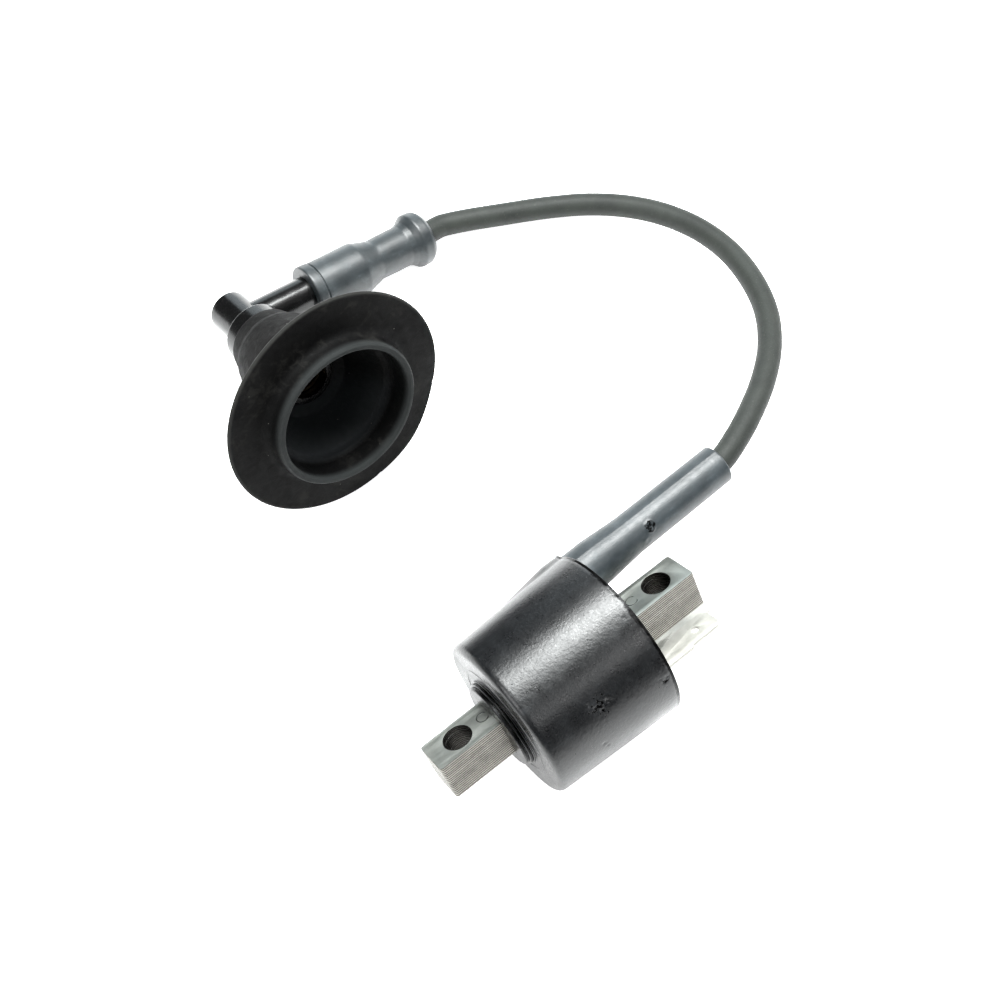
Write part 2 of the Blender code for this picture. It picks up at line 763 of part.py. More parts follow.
BLACK_PLASTIC = make_material("black_plastic", (0.022, 0.024, 0.027), 0.34)
STEEL = make_material("lamination_steel", (0.55, 0.55, 0.52), 0.38, 0.9)
TIN = make_material("tinned_brass", (0.80, 0.79, 0.74), 0.3, 1.0)
BOBBIN_PLASTIC = make_material("bobbin_plastic", (0.75, 0.72, 0.62), 0.5)
COPPER = make_material("enamelled_copper", (0.62, 0.25, 0.10), 0.35, 0.9)
PAPER = make_material("insulating_paper", (0.72, 0.62, 0.42), 0.8)
EPOXY = make_material("potting_epoxy", (0.02, 0.02, 0.022), 0.4)
SLEEVE_RUBBER = make_material("sleeve_rubber", (0.075, 0.09, 0.10), 0.45)
LEAD_RUBBER = make_material("lead_rubber", (0.085, 0.092, 0.085), 0.65)
PHENOLIC = make_material("cap_phenolic", (0.015, 0.016, 0.018), 0.14)
SEAL_RUBBER = make_material("seal_rubber", (0.04, 0.038, 0.038), 0.75)
BRASS = make_material("brass", (0.75, 0.58, 0.28), 0.3, 1.0)
CERAMIC = make_material("ceramic", (0.85, 0.82, 0.76), 0.5)
SPRING_STEEL = make_material("spring_steel", (0.5, 0.5, 0.5), 0.3, 1.0)

COIL_FRAME = frame_empty(
    "coil_frame", millimetre_frame(COIL_CENTRE, Matrix.Rotation(COIL_ROLL, 3, "X"))
)
core_laminations(COIL_FRAME, STEEL)
coil_housing(COIL_FRAME, BLACK_PLASTIC)
windings(COIL_FRAME, BOBBIN_PLASTIC, COPPER, PAPER)
potting(COIL_FRAME, EPOXY)
tower_contact(COIL_FRAME, BRASS)
blade_terminal("front_terminal", FRONT_BLADE, COIL_FRAME, TIN)
blade_terminal("rear_terminal", REAR_BLADE, COIL_FRAME, TIN)
coil_sleeve(SLEEVE_RUBBER)
ht_lead(LEAD_RUBBER)

CAP_FRAME = frame_empty("cap_frame", millimetre_frame(CAP_CENTRE, cap_rotation()))
cap_body(CAP_FRAME, PHENOLIC)
cap_sleeve(CAP_FRAME, SLEEVE_RUBBER)
shroud_seal(CAP_FRAME, SEAL_RUBBER)
cap_internals(CAP_FRAME, BRASS, CERAMIC, SPRING_STEEL)
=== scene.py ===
"""Looks of the ignition coil: detailed visible pieces, procedural materials, studio light and the camera."""

import json
import math
import random

import bmesh
import bpy
from mathutils import Matrix, Vector, noise


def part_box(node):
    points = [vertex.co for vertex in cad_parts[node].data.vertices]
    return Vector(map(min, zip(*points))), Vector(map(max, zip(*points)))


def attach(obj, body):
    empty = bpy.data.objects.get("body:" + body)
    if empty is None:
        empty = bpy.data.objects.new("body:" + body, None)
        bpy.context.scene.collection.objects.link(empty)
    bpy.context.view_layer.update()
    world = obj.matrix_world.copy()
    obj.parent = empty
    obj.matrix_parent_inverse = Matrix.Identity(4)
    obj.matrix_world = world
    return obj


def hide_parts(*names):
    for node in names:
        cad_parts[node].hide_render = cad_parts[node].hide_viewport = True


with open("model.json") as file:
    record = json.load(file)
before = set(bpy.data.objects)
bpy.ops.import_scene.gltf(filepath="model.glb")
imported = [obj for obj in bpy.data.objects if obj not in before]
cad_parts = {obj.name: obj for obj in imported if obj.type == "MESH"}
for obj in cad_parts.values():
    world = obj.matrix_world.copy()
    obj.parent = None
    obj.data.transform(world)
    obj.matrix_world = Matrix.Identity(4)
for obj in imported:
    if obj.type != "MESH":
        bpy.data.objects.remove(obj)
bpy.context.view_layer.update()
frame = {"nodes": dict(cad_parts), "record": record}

MM = 0.001
RECORD = frame["record"]
JOINTS = {joint["name"]: joint for joint in RECORD["behaviour"]["joints"]}
MOUNTS = {mount["name"]: mount for mount in RECORD["mounts"]}


# ---------------------------------------------------------------- places, from the frame


def basis(origin, x_axis, z_axis):
    """The frame at an origin in metres with the given Z, and X as near as can be to the given one."""
    z_axis = z_axis.normalized()
    x_axis = (x_axis - z_axis * x_axis.dot(z_axis)).normalized()
    y_axis = z_axis.cross(x_axis)
    columns = Matrix((x_axis, y_axis, z_axis)).transposed()
    return Matrix.Translation(origin) @ columns.to_4x4()


def node_centre(*names):
    low = Vector([min(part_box(name)[0][axis] for name in names) for axis in range(3)])
    high = Vector([max(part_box(name)[1][axis] for name in names) for axis in range(3)])
    return (low + high) * 0.5


LAMINATIONS = [f"core_lamination_{number:02d}" for number in range(1, 19)]
COIL = basis(
    node_centre(LAMINATIONS[0], LAMINATIONS[-1]),
    Vector((1.0, 0.0, 0.0)),
    Vector(MOUNTS["left_bolt_head_face"]["axis"]),
)
CAP = basis(
    Vector(JOINTS["cap_swivel"]["pos_m"]),
    -Vector(JOINTS["cap_swivel"]["axis"]),
    Vector(JOINTS["seal_pull"]["axis"]),
)
TURN_TO_X = Matrix.Rotation(math.radians(90.0), 4, "Y")
COIL_AXLE = COIL @ TURN_TO_X
ARM_AXLE = CAP @ TURN_TO_X
TOWER_ANGLE = math.radians(50.0)
TOWER_DISTANCE = 14.85
TOWER_PLACE = Vector((0.0, TOWER_DISTANCE * math.sin(TOWER_ANGLE), TOWER_DISTANCE * math.cos(TOWER_ANGLE)))
TOWER_AXLE = COIL @ Matrix.Translation(TOWER_PLACE * MM) @ TURN_TO_X

# Bolt holes and crimp marks on the core, from its middle, in millimetres
HOLE_PLACE = 26.7
HOLE_RADIUS = 3.2
CRIMP_PLACE = (20.1, 0.3)
CRIMP_RADIUS = 1.3

# Sleeve on the lead at the coil, and the lead's route over the bench, in millimetres
TOWER_MOUTH = Vector((2.74, 14.16, 21.6))
COIL_SLEEVE_END = TOWER_MOUTH + Vector((42.3, 0.7, 1.1))
SLEEVE_WAY = (COIL_SLEEVE_END - TOWER_MOUTH).normalized()
SLEEVE_LENGTH = (COIL_SLEEVE_END - TOWER_MOUTH).length
SLEEVE_AXLE = basis(TOWER_MOUTH * MM, SLEEVE_WAY.orthogonal(), SLEEVE_WAY)
LEAD_ROUTE = [
    (53.5, 17.35, 22.3),
    (61.0, 20.65, 21.5),
    (69.0, 25.05, 20.1),
    (77.0, 31.05, 18.3),
    (84.1, 39.05, 16.2),
    (89.1, 48.65, 13.9),
    (92.1, 59.65, 11.5),
    (92.3, 70.65, 9.2),
    (89.7, 81.05, 7.2),
    (84.9, 89.85, 5.7),
    (78.1, 97.45, 4.6),
    (70.1, 103.45, 4.0),
    (60.7, 108.65, 4.1),
]
LEAD_DIAMETER = 0.0058


# ---------------------------------------------------------------- camera and light


def add_camera():
    data = bpy.data.cameras.new("camera")
    data.lens = 48.08
    data.sensor_width = 36.0
    camera = bpy.data.objects.new("camera", data)
    bpy.context.scene.collection.objects.link(camera)
    back = Vector((-0.246, -0.344, 0.9065))
    right = Vector((0.782, -0.622, -0.023))
    camera.matrix_world = basis(Vector((-0.0705, -0.06283, 0.28953)), right, back)
    bpy.context.scene.camera = camera


def add_softbox(name, azimuth, elevation, distance, size, watts, colour=(1.0, 1.0, 1.0)):
    """A rectangular area light that looks at the middle of the object; azimuth 0 is along +X."""
    data = bpy.data.lights.new(name, "AREA")
    data.shape = "RECTANGLE"
    data.size, data.size_y = size
    data.energy = watts
    data.color = colour
    light = bpy.data.objects.new(name, data)
    bpy.context.scene.collection.objects.link(light)
    azimuth, elevation = math.radians(azimuth), math.radians(elevation)
    way = Vector(
        (
            math.cos(azimuth) * math.cos(elevation),
            math.sin(azimuth) * math.cos(elevation),
            math.sin(elevation),
        )
    )
    target = Vector((0.01, 0.04, 0.02))
    light.location = target + way * distance
    light.rotation_euler = way.to_track_quat("Z", "Y").to_euler()


def add_world(light, backdrop):
    """A dim room with a white backdrop: light is what falls on the object, backdrop is what is seen."""
    world = bpy.data.worlds.new("studio")
    bpy.context.scene.world = world
    world.use_nodes = True
    tree = world.node_tree
    background = tree.nodes["Background"]
    background.inputs["Color"].default_value = (0.98, 0.99, 1.0, 1.0)
    seen = tree.nodes.new("ShaderNodeLightPath").outputs["Is Camera Ray"]
    level = tree.nodes.new("ShaderNodeMapRange")
    level.inputs["To Min"].default_value = light
    level.inputs["To Max"].default_value = backdrop
    tree.links.new(seen, level.inputs["Value"])
    tree.links.new(level.outputs["Result"], background.inputs["Strength"])


def add_floor(material):
    size = 3.0
    mesh = bpy.data.meshes.new("floor")
    corners = [(-size, -size, 0.0), (size, -size, 0.0), (size, size, 0.0), (-size, size, 0.0)]
    mesh.from_pydata(corners, [], [(0, 1, 2, 3)])
    floor = bpy.data.objects.new("floor", mesh)
    bpy.context.scene.collection.objects.link(floor)
    mesh.materials.append(material)


# ---------------------------------------------------------------- materials


class Finish:
    """A material and short ways to add the nodes that it is made of, in the frame of place."""

    def __init__(self, name, roughness=0.5, metallic=0.0, place=None):
        self.material = bpy.data.materials.new(name)
        self.material.use_nodes = True
        self.tree = self.material.node_tree
        self.shader = self.tree.nodes["Principled BSDF"]
        self.shader.inputs["Roughness"].default_value = roughness
        self.shader.inputs["Metallic"].default_value = metallic
        self.place = self.add("ShaderNodeTexCoord").outputs["Object"]
        if place is not None:
            local = self.add(
                "ShaderNodeMapping",
                {
                    "Vector": self.place,
                    "Location": place.to_translation(),
                    "Rotation": place.to_euler(),
                },
                vector_type="TEXTURE",
            )
            self.place = local.outputs["Vector"]

    def add(self, kind, sockets=(), **settings):
        item = self.tree.nodes.new(kind)
        for key, value in settings.items():
            setattr(item, key, value)
        for key, value in dict(sockets).items():
            self.join(value, item.inputs[key])
        return item

    def join(self, value, socket):
        if isinstance(value, bpy.types.NodeSocket):
            self.tree.links.new(value, socket)
        else:
            socket.default_value = value

    def noise(self, scale, detail=4.0, roughness=0.55, stretch=(1.0, 1.0, 1.0), distortion=0.0):
        """Noise whose features are about 1 / scale metres across."""
        placed = self.add("ShaderNodeMapping", {"Vector": self.place, "Scale": stretch})
        texture = self.add(
            "ShaderNodeTexNoise",
            {
                "Vector": placed.outputs["Vector"],
                "Scale": scale,
                "Detail": detail,
                "Roughness": roughness,
                "Distortion": distortion,
            },
        )
        return texture.outputs["Fac"]

    def near(self, point, reach, core):
        """One within core of a point, falling to nothing at reach."""
        item = self.add("ShaderNodeVectorMath", operation="DISTANCE")
        self.join(self.place, item.inputs[0])
        self.join(point, item.inputs[1])
        return self.spread(item.outputs["Value"], reach, core)

    def cells(self, scale):
        texture = self.add("ShaderNodeTexVoronoi", {"Vector": self.place, "Scale": scale})
        return texture.outputs["Distance"]

    def spread(self, value, low, high, new_low=0.0, new_high=1.0, smooth=False):
        """Maps low..high to new_low..new_high and holds it there."""
        item = self.add(
            "ShaderNodeMapRange",
            {
                "Value": value,
                "From Min": low,
                "From Max": high,
                "To Min": new_low,
                "To Max": new_high,
            },
            clamp=True,
            interpolation_type="SMOOTHSTEP" if smooth else "LINEAR",
        )
        return item.outputs["Result"]

    def maths(self, operation, first, second=0.0):
        item = self.add("ShaderNodeMath", operation=operation)
        self.join(first, item.inputs[0])
        self.join(second, item.inputs[1])
        return item.outputs["Value"]

    def blend(self, share, first, second):
        """Mixes two colours, each a socket or (r, g, b)."""
        item = self.add("ShaderNodeMix", data_type="RGBA")
        self.join(share, item.inputs["Factor"])
        for index, value in ((6, first), (7, second)):
            if isinstance(value, tuple):
                value = (*value, 1.0)
            self.join(value, item.inputs[index])
        return item.outputs[2]

    def axes(self):
        parts = self.add("ShaderNodeSeparateXYZ", {"Vector": self.place}).outputs
        return parts["X"], parts["Y"], parts["Z"]

    def radius(self, first, second):
        """Distance from an axis, from the two coordinates across it."""
        squares = [self.maths("MULTIPLY", value, value) for value in (first, second)]
        return self.maths("SQRT", self.maths("ADD", *squares))

    def colour(self, value):
        self.join(value, self.shader.inputs["Base Color"])

    def rough(self, value):
        self.join(value, self.shader.inputs["Roughness"])

    def bump(self, height, depth, under=None):
        """depth in metres for a height of one; under is a bump that this one lies on."""
        item = self.add("ShaderNodeBump", {"Height": height, "Strength": 1.0, "Distance": depth})
        if under is not None:
            self.tree.links.new(under, item.inputs["Normal"])
        self.tree.links.new(item.outputs["Normal"], self.shader.inputs["Normal"])
        return item.outputs["Normal"]


def housing_plastic():
    """Moulded black plastic: eggshell gloss with a fine grain, handling marks and specks of dust; the pits,
    the flash groove by the rim and the end boss are painted near-black with no reflection as painted shade.
    """
    finish = Finish("housing_plastic", place=COIL_AXLE)
    z_place = finish.axes()[2]
    mottle = finish.noise(160.0, 5.0, 0.65)
    fine = finish.noise(2600.0, 3.0, 0.6)
    brushed = finish.noise(900.0, 4.0, 0.6, stretch=(1.0, 1.0, 0.35))
    base = finish.blend(finish.spread(mottle, 0.35, 0.7), (0.0022, 0.0025, 0.0030), (0.0060, 0.0068, 0.0078))
    worn = finish.spread(finish.maths("MULTIPLY", mottle, brushed), 0.29, 0.40)
    base = finish.blend(finish.maths("MULTIPLY", worn, 0.5), base, (0.017, 0.019, 0.021))
    specks = finish.spread(finish.cells(520.0), 0.07, 0.02)
    specks = finish.maths("MULTIPLY", specks, finish.spread(finish.noise(90.0, 2.0), 0.56, 0.66))
    near_rim = finish.spread(z_place, 0.0095, 0.0135, smooth=True)
    scuffs = finish.spread(finish.noise(1500.0, 5.0, 0.75, distortion=0.6), 0.62, 0.70)
    scuffs = finish.maths("MULTIPLY", scuffs, finish.maths("MULTIPLY", near_rim, 0.75))
    marks = finish.maths("MAXIMUM", specks, scuffs)
    base = finish.blend(marks, base, (0.12, 0.125, 0.13))
    patch = finish.near((-0.0049, -0.0187, -0.0024), 0.0042, 0.0006)
    patch = finish.maths("MAXIMUM", patch, finish.near((-0.0003, -0.0193, 0.0118), 0.0026, 0.0003))
    patch = finish.maths("MULTIPLY", patch, 0.23)
    pits = finish.spread(finish.maths("ADD", finish.noise(1100.0, 3.0, 0.6), patch), 0.72, 0.75)
    ragged = finish.spread(finish.noise(500.0, 4.0, 0.7), 0.3, 0.7, -0.0004, 0.0005)
    flash = finish.spread(finish.maths("ADD", z_place, ragged), 0.0134, 0.0137)
    boss_shade = finish.spread(z_place, -0.0163, -0.0168)
    flash = finish.maths("MULTIPLY", flash, 0.75)
    # Painted shade: the flash groove, the end boss and the pits are painted near-black and made metallic so
    # that they reflect nothing.
    painted_shade = finish.maths("MAXIMUM", flash, finish.maths("MULTIPLY", boss_shade, 0.6))
    painted_shade = finish.maths("MAXIMUM", painted_shade, pits)
    base = finish.blend(painted_shade, base, (0.0008, 0.0008, 0.0009))
    finish.join(finish.maths("MULTIPLY", painted_shade, 0.95), finish.shader.inputs["Metallic"])
    finish.colour(base)
    gloss = finish.spread(mottle, 0.3, 0.7, 0.27, 0.37)
    gloss = finish.maths("ADD", gloss, finish.spread(fine, 0.3, 0.7, -0.05, 0.07))
    finish.rough(finish.maths("ADD", gloss, finish.maths("MULTIPLY", marks, 0.2)))
    under = finish.bump(finish.noise(1250.0, 4.0, 0.6), 0.00005)
    under = finish.bump(finish.maths("MULTIPLY", pits, -1.0), 0.00015, under)
    finish.bump(fine, 0.00002, under)
    return finish.material


def hole_shade(finish):
    """One inside the two bolt holes of the core, falling to nothing at their rims."""
    x_place, y_place, _ = finish.axes()
    beside = finish.maths("SUBTRACT", finish.maths("ABSOLUTE", x_place), HOLE_PLACE * MM)
    return finish.spread(finish.radius(beside, y_place), 0.00345, 0.0032)


def crimp_shade(finish):
    """One along the two C-shaped crimp grooves."""
    x_place, y_place, _ = finish.axes()
    centre = finish.maths("MULTIPLY", finish.maths("SIGN", x_place), CRIMP_PLACE[0] * MM)
    beside = finish.maths("SUBTRACT", x_place, centre)
    around = finish.radius(beside, finish.maths("SUBTRACT", y_place, CRIMP_PLACE[1] * MM))
    off_line = finish.maths("ABSOLUTE", finish.maths("SUBTRACT", around, CRIMP_RADIUS * MM))
    line = finish.spread(off_line, 0.00016, 0.00008)
    return finish.maths("MULTIPLY", line, finish.spread(beside, 0.0012, 0.0010))


def stamped_steel():
    """The faces of a lamination: grey-green satin with rolling marks, a trace of oil and painted shade in
    the crimp grooves.
    """
    finish = Finish("stamped_steel", metallic=1.0, place=COIL)
    rolled = finish.noise(1400.0, 5.0, 0.6, stretch=(0.12, 1.0, 1.0))
    cloud = finish.noise(260.0, 4.0, 0.6)
    tone = finish.blend(finish.spread(cloud, 0.3, 0.7), (0.31, 0.33, 0.31), (0.42, 0.44, 0.41))
    dirt = finish.spread(finish.noise(900.0, 5.0, 0.75), 0.60, 0.72)
    tone = finish.blend(finish.maths("MULTIPLY", dirt, 0.35), tone, (0.16, 0.15, 0.13))
    # Painted shade: the crimp grooves are painted near-black.
    groove = finish.maths("MULTIPLY", crimp_shade(finish), 0.85)
    finish.colour(finish.blend(groove, tone, (0.03, 0.03, 0.028)))
    finish.rough(finish.spread(rolled, 0.25, 0.75, 0.36, 0.52))
    finish.bump(rolled, 0.000012)
    return finish.material


def sheared_steel():
    """The cut edges of the laminations: each its own grey, with painted shade between them and in the bolt
    holes.
    """
    finish = Finish("sheared_steel", metallic=1.0, place=COIL)
    sheared = finish.noise(2200.0, 4.0, 0.65, stretch=(1.0, 1.0, 0.2))
    cloud = finish.noise(420.0, 4.0, 0.65)
    layer = finish.maths("DIVIDE", finish.axes()[2], 0.0005)
    plate = finish.add(
        "ShaderNodeTexWhiteNoise", {"W": finish.maths("FLOOR", layer)}, noise_dimensions="1D"
    ).outputs["Value"]
    tone = finish.blend(finish.spread(cloud, 0.3, 0.7), (0.20, 0.19, 0.17), (0.31, 0.30, 0.27))
    tone = finish.blend(finish.maths("MULTIPLY", plate, 0.45), tone, (0.42, 0.41, 0.37))
    rust = finish.spread(finish.noise(700.0, 5.0, 0.7), 0.62, 0.74)
    tone = finish.blend(finish.maths("MULTIPLY", rust, 0.4), tone, (0.20, 0.14, 0.09))
    # Painted shade: the edges of each plate next to the gaps between the plates, and the bolt holes, are
    # painted near-black.
    seam_shade = finish.maths("ABSOLUTE", finish.maths("SUBTRACT", finish.maths("FRACT", layer), 0.5))
    seam_shade = finish.spread(seam_shade, 0.22, 0.36)
    tone = finish.blend(finish.maths("MULTIPLY", seam_shade, 0.92), tone, (0.012, 0.012, 0.011))
    tone = finish.blend(finish.maths("MULTIPLY", hole_shade(finish), 0.86), tone, (0.012, 0.011, 0.010))
    finish.colour(tone)
    finish.rough(finish.spread(sheared, 0.25, 0.75, 0.34, 0.54))
    finish.bump(sheared, 0.00002)
    return finish.material


def tinned_brass():
    """Bright tin with drawing streaks and a few dull fingerprints."""
    finish = Finish("tinned_blade", metallic=1.0, place=COIL)
    streaks = finish.noise(1800.0, 4.0, 0.6, stretch=(0.1, 1.0, 1.0))
    cloud = finish.noise(330.0, 4.0, 0.6)
    tone = finish.blend(finish.spread(cloud, 0.3, 0.7), (0.45, 0.445, 0.41), (0.57, 0.565, 0.53))
    spots = finish.spread(finish.noise(1300.0, 4.0, 0.7), 0.64, 0.74)
    finish.colour(finish.blend(finish.maths("MULTIPLY", spots, 0.4), tone, (0.22, 0.20, 0.16)))
    finish.rough(finish.spread(streaks, 0.25, 0.75, 0.50, 0.64))
    finish.bump(streaks, 0.00001)
    return finish.material


def sleeve_rubber(name, place, dark, light, sheen_low, sheen_high, flaw=None):
    """Satin blue-grey rubber with a bloom, fine pores, rubbed places and perhaps a crusted flaw."""
    finish = Finish(name, place=place)
    finish.shader.inputs["Specular IOR Level"].default_value = 0.65
    bloom = finish.noise(150.0, 5.0, 0.65)
    patches = finish.noise(620.0, 5.0, 0.7)
    fine = finish.noise(3200.0, 3.0, 0.6)
    tone = finish.blend(finish.spread(bloom, 0.32, 0.68), dark, light)
    rubbed = finish.spread(finish.maths("MULTIPLY", bloom, patches), 0.30, 0.42)
    pale = tuple(value * 1.9 for value in light)
    tone = finish.blend(finish.maths("MULTIPLY", rubbed, 0.45), tone, pale)
    if flaw is not None:
        crust = finish.maths("ADD", finish.noise(1500.0, 4.0, 0.65), finish.near(flaw, 0.0030, 0.0012))
        crust = finish.spread(crust, 1.46, 1.52)
        tone = finish.blend(crust, tone, (0.002, 0.002, 0.002))
        finish.join(finish.maths("MULTIPLY", crust, 0.95), finish.shader.inputs["Metallic"])
    finish.colour(tone)
    gloss = finish.spread(patches, 0.3, 0.7, sheen_low, sheen_high)
    finish.rough(finish.maths("ADD", gloss, finish.spread(fine, 0.3, 0.7, -0.04, 0.05)))
    under = finish.bump(patches, 0.00005)
    finish.bump(fine, 0.000018, under)
    return finish.material


def lead_rubber():
    """Matte grey-green jacket with a fine grain, dust and scattered rubbed flecks."""
    finish = Finish("lead_rubber")
    finish.shader.inputs["Specular IOR Level"].default_value = 0.3
    bloom = finish.noise(120.0, 4.0, 0.6)
    fine = finish.noise(2400.0, 4.0, 0.65)
    tone = finish.blend(finish.spread(bloom, 0.3, 0.7), (0.015, 0.0175, 0.0155), (0.027, 0.031, 0.027))
    flecks = finish.spread(finish.noise(1700.0, 5.0, 0.75), 0.60, 0.72)
    finish.colour(finish.blend(finish.maths("MULTIPLY", flecks, 0.5), tone, (0.085, 0.09, 0.08)))
    finish.rough(finish.spread(fine, 0.3, 0.7, 0.52, 0.68))
    under = finish.bump(finish.noise(800.0, 3.0, 0.5), 0.00003)
    finish.bump(fine, 0.00003, under)
    return finish.material


def cap_phenolic():
    """Polished black phenolic with a slight flow ripple, wiped dust and fine scratches."""
    finish = Finish("cap_phenolic", place=CAP)
    ripple = finish.noise(240.0, 3.0, 0.5)
    scratches = finish.noise(2200.0, 5.0, 0.7, stretch=(0.15, 1.0, 0.6))
    dust = finish.spread(finish.noise(1500.0, 5.0, 0.75), 0.60, 0.74)
    tone = finish.blend(finish.spread(ripple, 0.3, 0.7), (0.0010, 0.0010, 0.0011), (0.0022, 0.0023, 0.0024))
    finish.colour(finish.blend(finish.maths("MULTIPLY", dust, 0.12), tone, (0.05, 0.053, 0.053)))
    gloss = finish.spread(scratches, 0.35, 0.7, 0.21, 0.25)
    finish.rough(finish.maths("ADD", gloss, finish.maths("MULTIPLY", dust, 0.06)))
    under = finish.bump(ripple, 0.00006)
    finish.bump(scratches, 0.000002, under)
    return finish.material


def seal_rubber():
    """Matte brown-black rubber, dusty on the flange and the lip, with painted shade deep in the funnel and
    painted light on its upward-facing wall.
    """
    finish = Finish("seal_rubber", place=CAP)
    finish.shader.inputs["Specular IOR Level"].default_value = 0.08
    x_place, y_place, z_place = finish.axes()
    across = finish.radius(x_place, y_place)
    bloom = finish.noise(110.0, 5.0, 0.65)
    smear = finish.noise(420.0, 5.0, 0.7, distortion=0.8)
    fine = finish.noise(2600.0, 4.0, 0.65)
    tone = finish.blend(finish.spread(bloom, 0.3, 0.7), (0.0004, 0.0004, 0.0005), (0.0028, 0.0028, 0.0028))
    dusty = finish.spread(finish.maths("MULTIPLY", bloom, smear), 0.27, 0.38)
    tone = finish.blend(finish.maths("MULTIPLY", dusty, 0.55), tone, (0.016, 0.0156, 0.0143))
    lip = finish.spread(z_place, 0.0420, 0.0442, smooth=True)
    tone = finish.blend(finish.maths("MULTIPLY", lip, 0.55), tone, (0.036, 0.040, 0.040))
    edge = finish.spread(across, 0.0270, 0.0278, smooth=True)
    tone = finish.blend(finish.maths("MULTIPLY", edge, 0.5), tone, (0.040, 0.040, 0.038))
    # Painted shade: the funnel below the collar is painted near-black.
    below = finish.spread(z_place, 0.0386, 0.0372)
    funnel_shade = finish.maths("MULTIPLY", below, finish.spread(across, 0.0168, 0.0164))
    tone = finish.blend(finish.maths("MULTIPLY", funnel_shade, 0.95), tone, (0.0008, 0.0008, 0.0008))
    # Painted light: the funnel's lower inner wall, which faces up, is painted lighter.
    lit = finish.maths("MULTIPLY", funnel_shade, finish.spread(y_place, 0.001, -0.009, smooth=True))
    tone = finish.blend(finish.maths("MULTIPLY", lit, 0.9), tone, (0.016, 0.018, 0.0195))
    specks = finish.spread(finish.cells(330.0), 0.075, 0.03)
    specks = finish.maths("MULTIPLY", specks, finish.spread(smear, 0.52, 0.60))
    tone = finish.blend(finish.maths("MULTIPLY", specks, 0.75), tone, (0.16, 0.155, 0.14))
    finish.colour(tone)
    finish.rough(finish.spread(smear, 0.3, 0.7, 0.55, 0.78))
    under = finish.bump(smear, 0.00007)
    finish.bump(fine, 0.000035, under)
    return finish.material


def cast_epoxy():
    """Black potting compound: glossy skin, a slow swirl and small burst bubbles."""
    finish = Finish("cast_epoxy", place=COIL)
    swirl = finish.noise(120.0, 3.0, 0.5, distortion=1.2)
    fine = finish.noise(1500.0, 3.0, 0.6)
    bubbles = finish.spread(finish.cells(420.0), 0.16, 0.06)
    bubbles = finish.maths("MULTIPLY", bubbles, finish.spread(swirl, 0.5, 0.6))
    tone = finish.blend(finish.spread(swirl, 0.3, 0.7), (0.003, 0.003, 0.0035), (0.008, 0.0078, 0.0078))
    finish.colour(tone)
    finish.rough(finish.spread(fine, 0.3, 0.7, 0.22, 0.36))
    under = finish.bump(swirl, 0.0002)
    finish.bump(finish.maths("MULTIPLY", bubbles, -1.0), 0.00008, under)
    return finish.material


def plain_finish(name, dark, light, roughness, metallic=0.0, scale=600.0, depth=0.00002, stretch=(1, 1, 1)):
    """A quieter procedural finish for the parts that lie inside."""
    finish = Finish(name, metallic=metallic)
    grain = finish.noise(scale, 4.0, 0.6, stretch=stretch)
    finish.colour(finish.blend(finish.spread(grain, 0.3, 0.7), dark, light))
    finish.rough(finish.spread(grain, 0.3, 0.7, roughness - 0.06, roughness + 0.08))
    finish.bump(grain, depth)
    return finish.material


def floor_paper():
    """Pale paper on a light table."""
    finish = Finish("floor_paper", roughness=0.9)
    grain = finish.noise(700.0, 4.0, 0.6)
    finish.colour(finish.blend(grain, (0.84, 0.845, 0.85), (0.87, 0.875, 0.875)))
    finish.shader.inputs["Emission Color"].default_value = (1.0, 1.0, 1.0, 1.0)
    finish.shader.inputs["Emission Strength"].default_value = 0.9
    return finish.material


# ---------------------------------------------------------------- mesh tools


def smooth_max(first, second, width):
    share = min(max(0.5 + 0.5 * (first - second) / width, 0.0), 1.0)
    return second + (first - second) * share + width * share * (1.0 - share)


def wobble(seed, *place):
    """Steady noise of about -1 to 1 at a place."""
    return noise.noise(Vector(place) + Vector((seed * 17.3, seed * 5.1, seed * 2.7)))


def rounded(points, closed=False, steps=5):
    """A polyline of (radius, height, fillet) with each corner rounded by its fillet."""
    result = []
    count = len(points)
    for index, (radius, height, size) in enumerate(points):
        corner = Vector((radius, height))
        if size <= 0.0 or (not closed and index in (0, count - 1)):
            result.append((radius, height))
            continue
        before = Vector(points[index - 1][:2]) - corner
        after = Vector(points[(index + 1) % count][:2]) - corner
        half = before.angle(after) * 0.5
        reach = min(size / math.tan(half), before.length * 0.48, after.length * 0.48)
        arc = reach * math.tan(half)
        way = (before.normalized() + after.normalized()).normalized()
        centre = corner + way * (arc / math.sin(half))
        first = corner + before.normalized() * reach - centre
        last = corner + after.normalized() * reach - centre
        start = math.atan2(first.y, first.x)
        sweep = math.atan2(last.y, last.x) - start
        sweep = (sweep + math.pi) % math.tau - math.pi
        for step in range(steps + 1):
            angle = start + sweep * step / steps
            result.append((centre.x + arc * math.cos(angle), centre.y + arc * math.sin(angle)))
    return result


def divided(points, longest, closed=False):
    """The same polyline with no piece longer than that."""
    result = []
    ends = points[1:] + (points[:1] if closed else [])
    for (r_one, h_one), (r_two, h_two) in zip(points, ends):
        count = max(1, math.ceil(math.hypot(r_two - r_one, h_two - h_one) / longest))
        for step in range(count):
            share = step / count
            result.append((r_one + (r_two - r_one) * share, h_one + (h_two - h_one) * share))
    if not closed:
        result.append(points[-1])
    return result


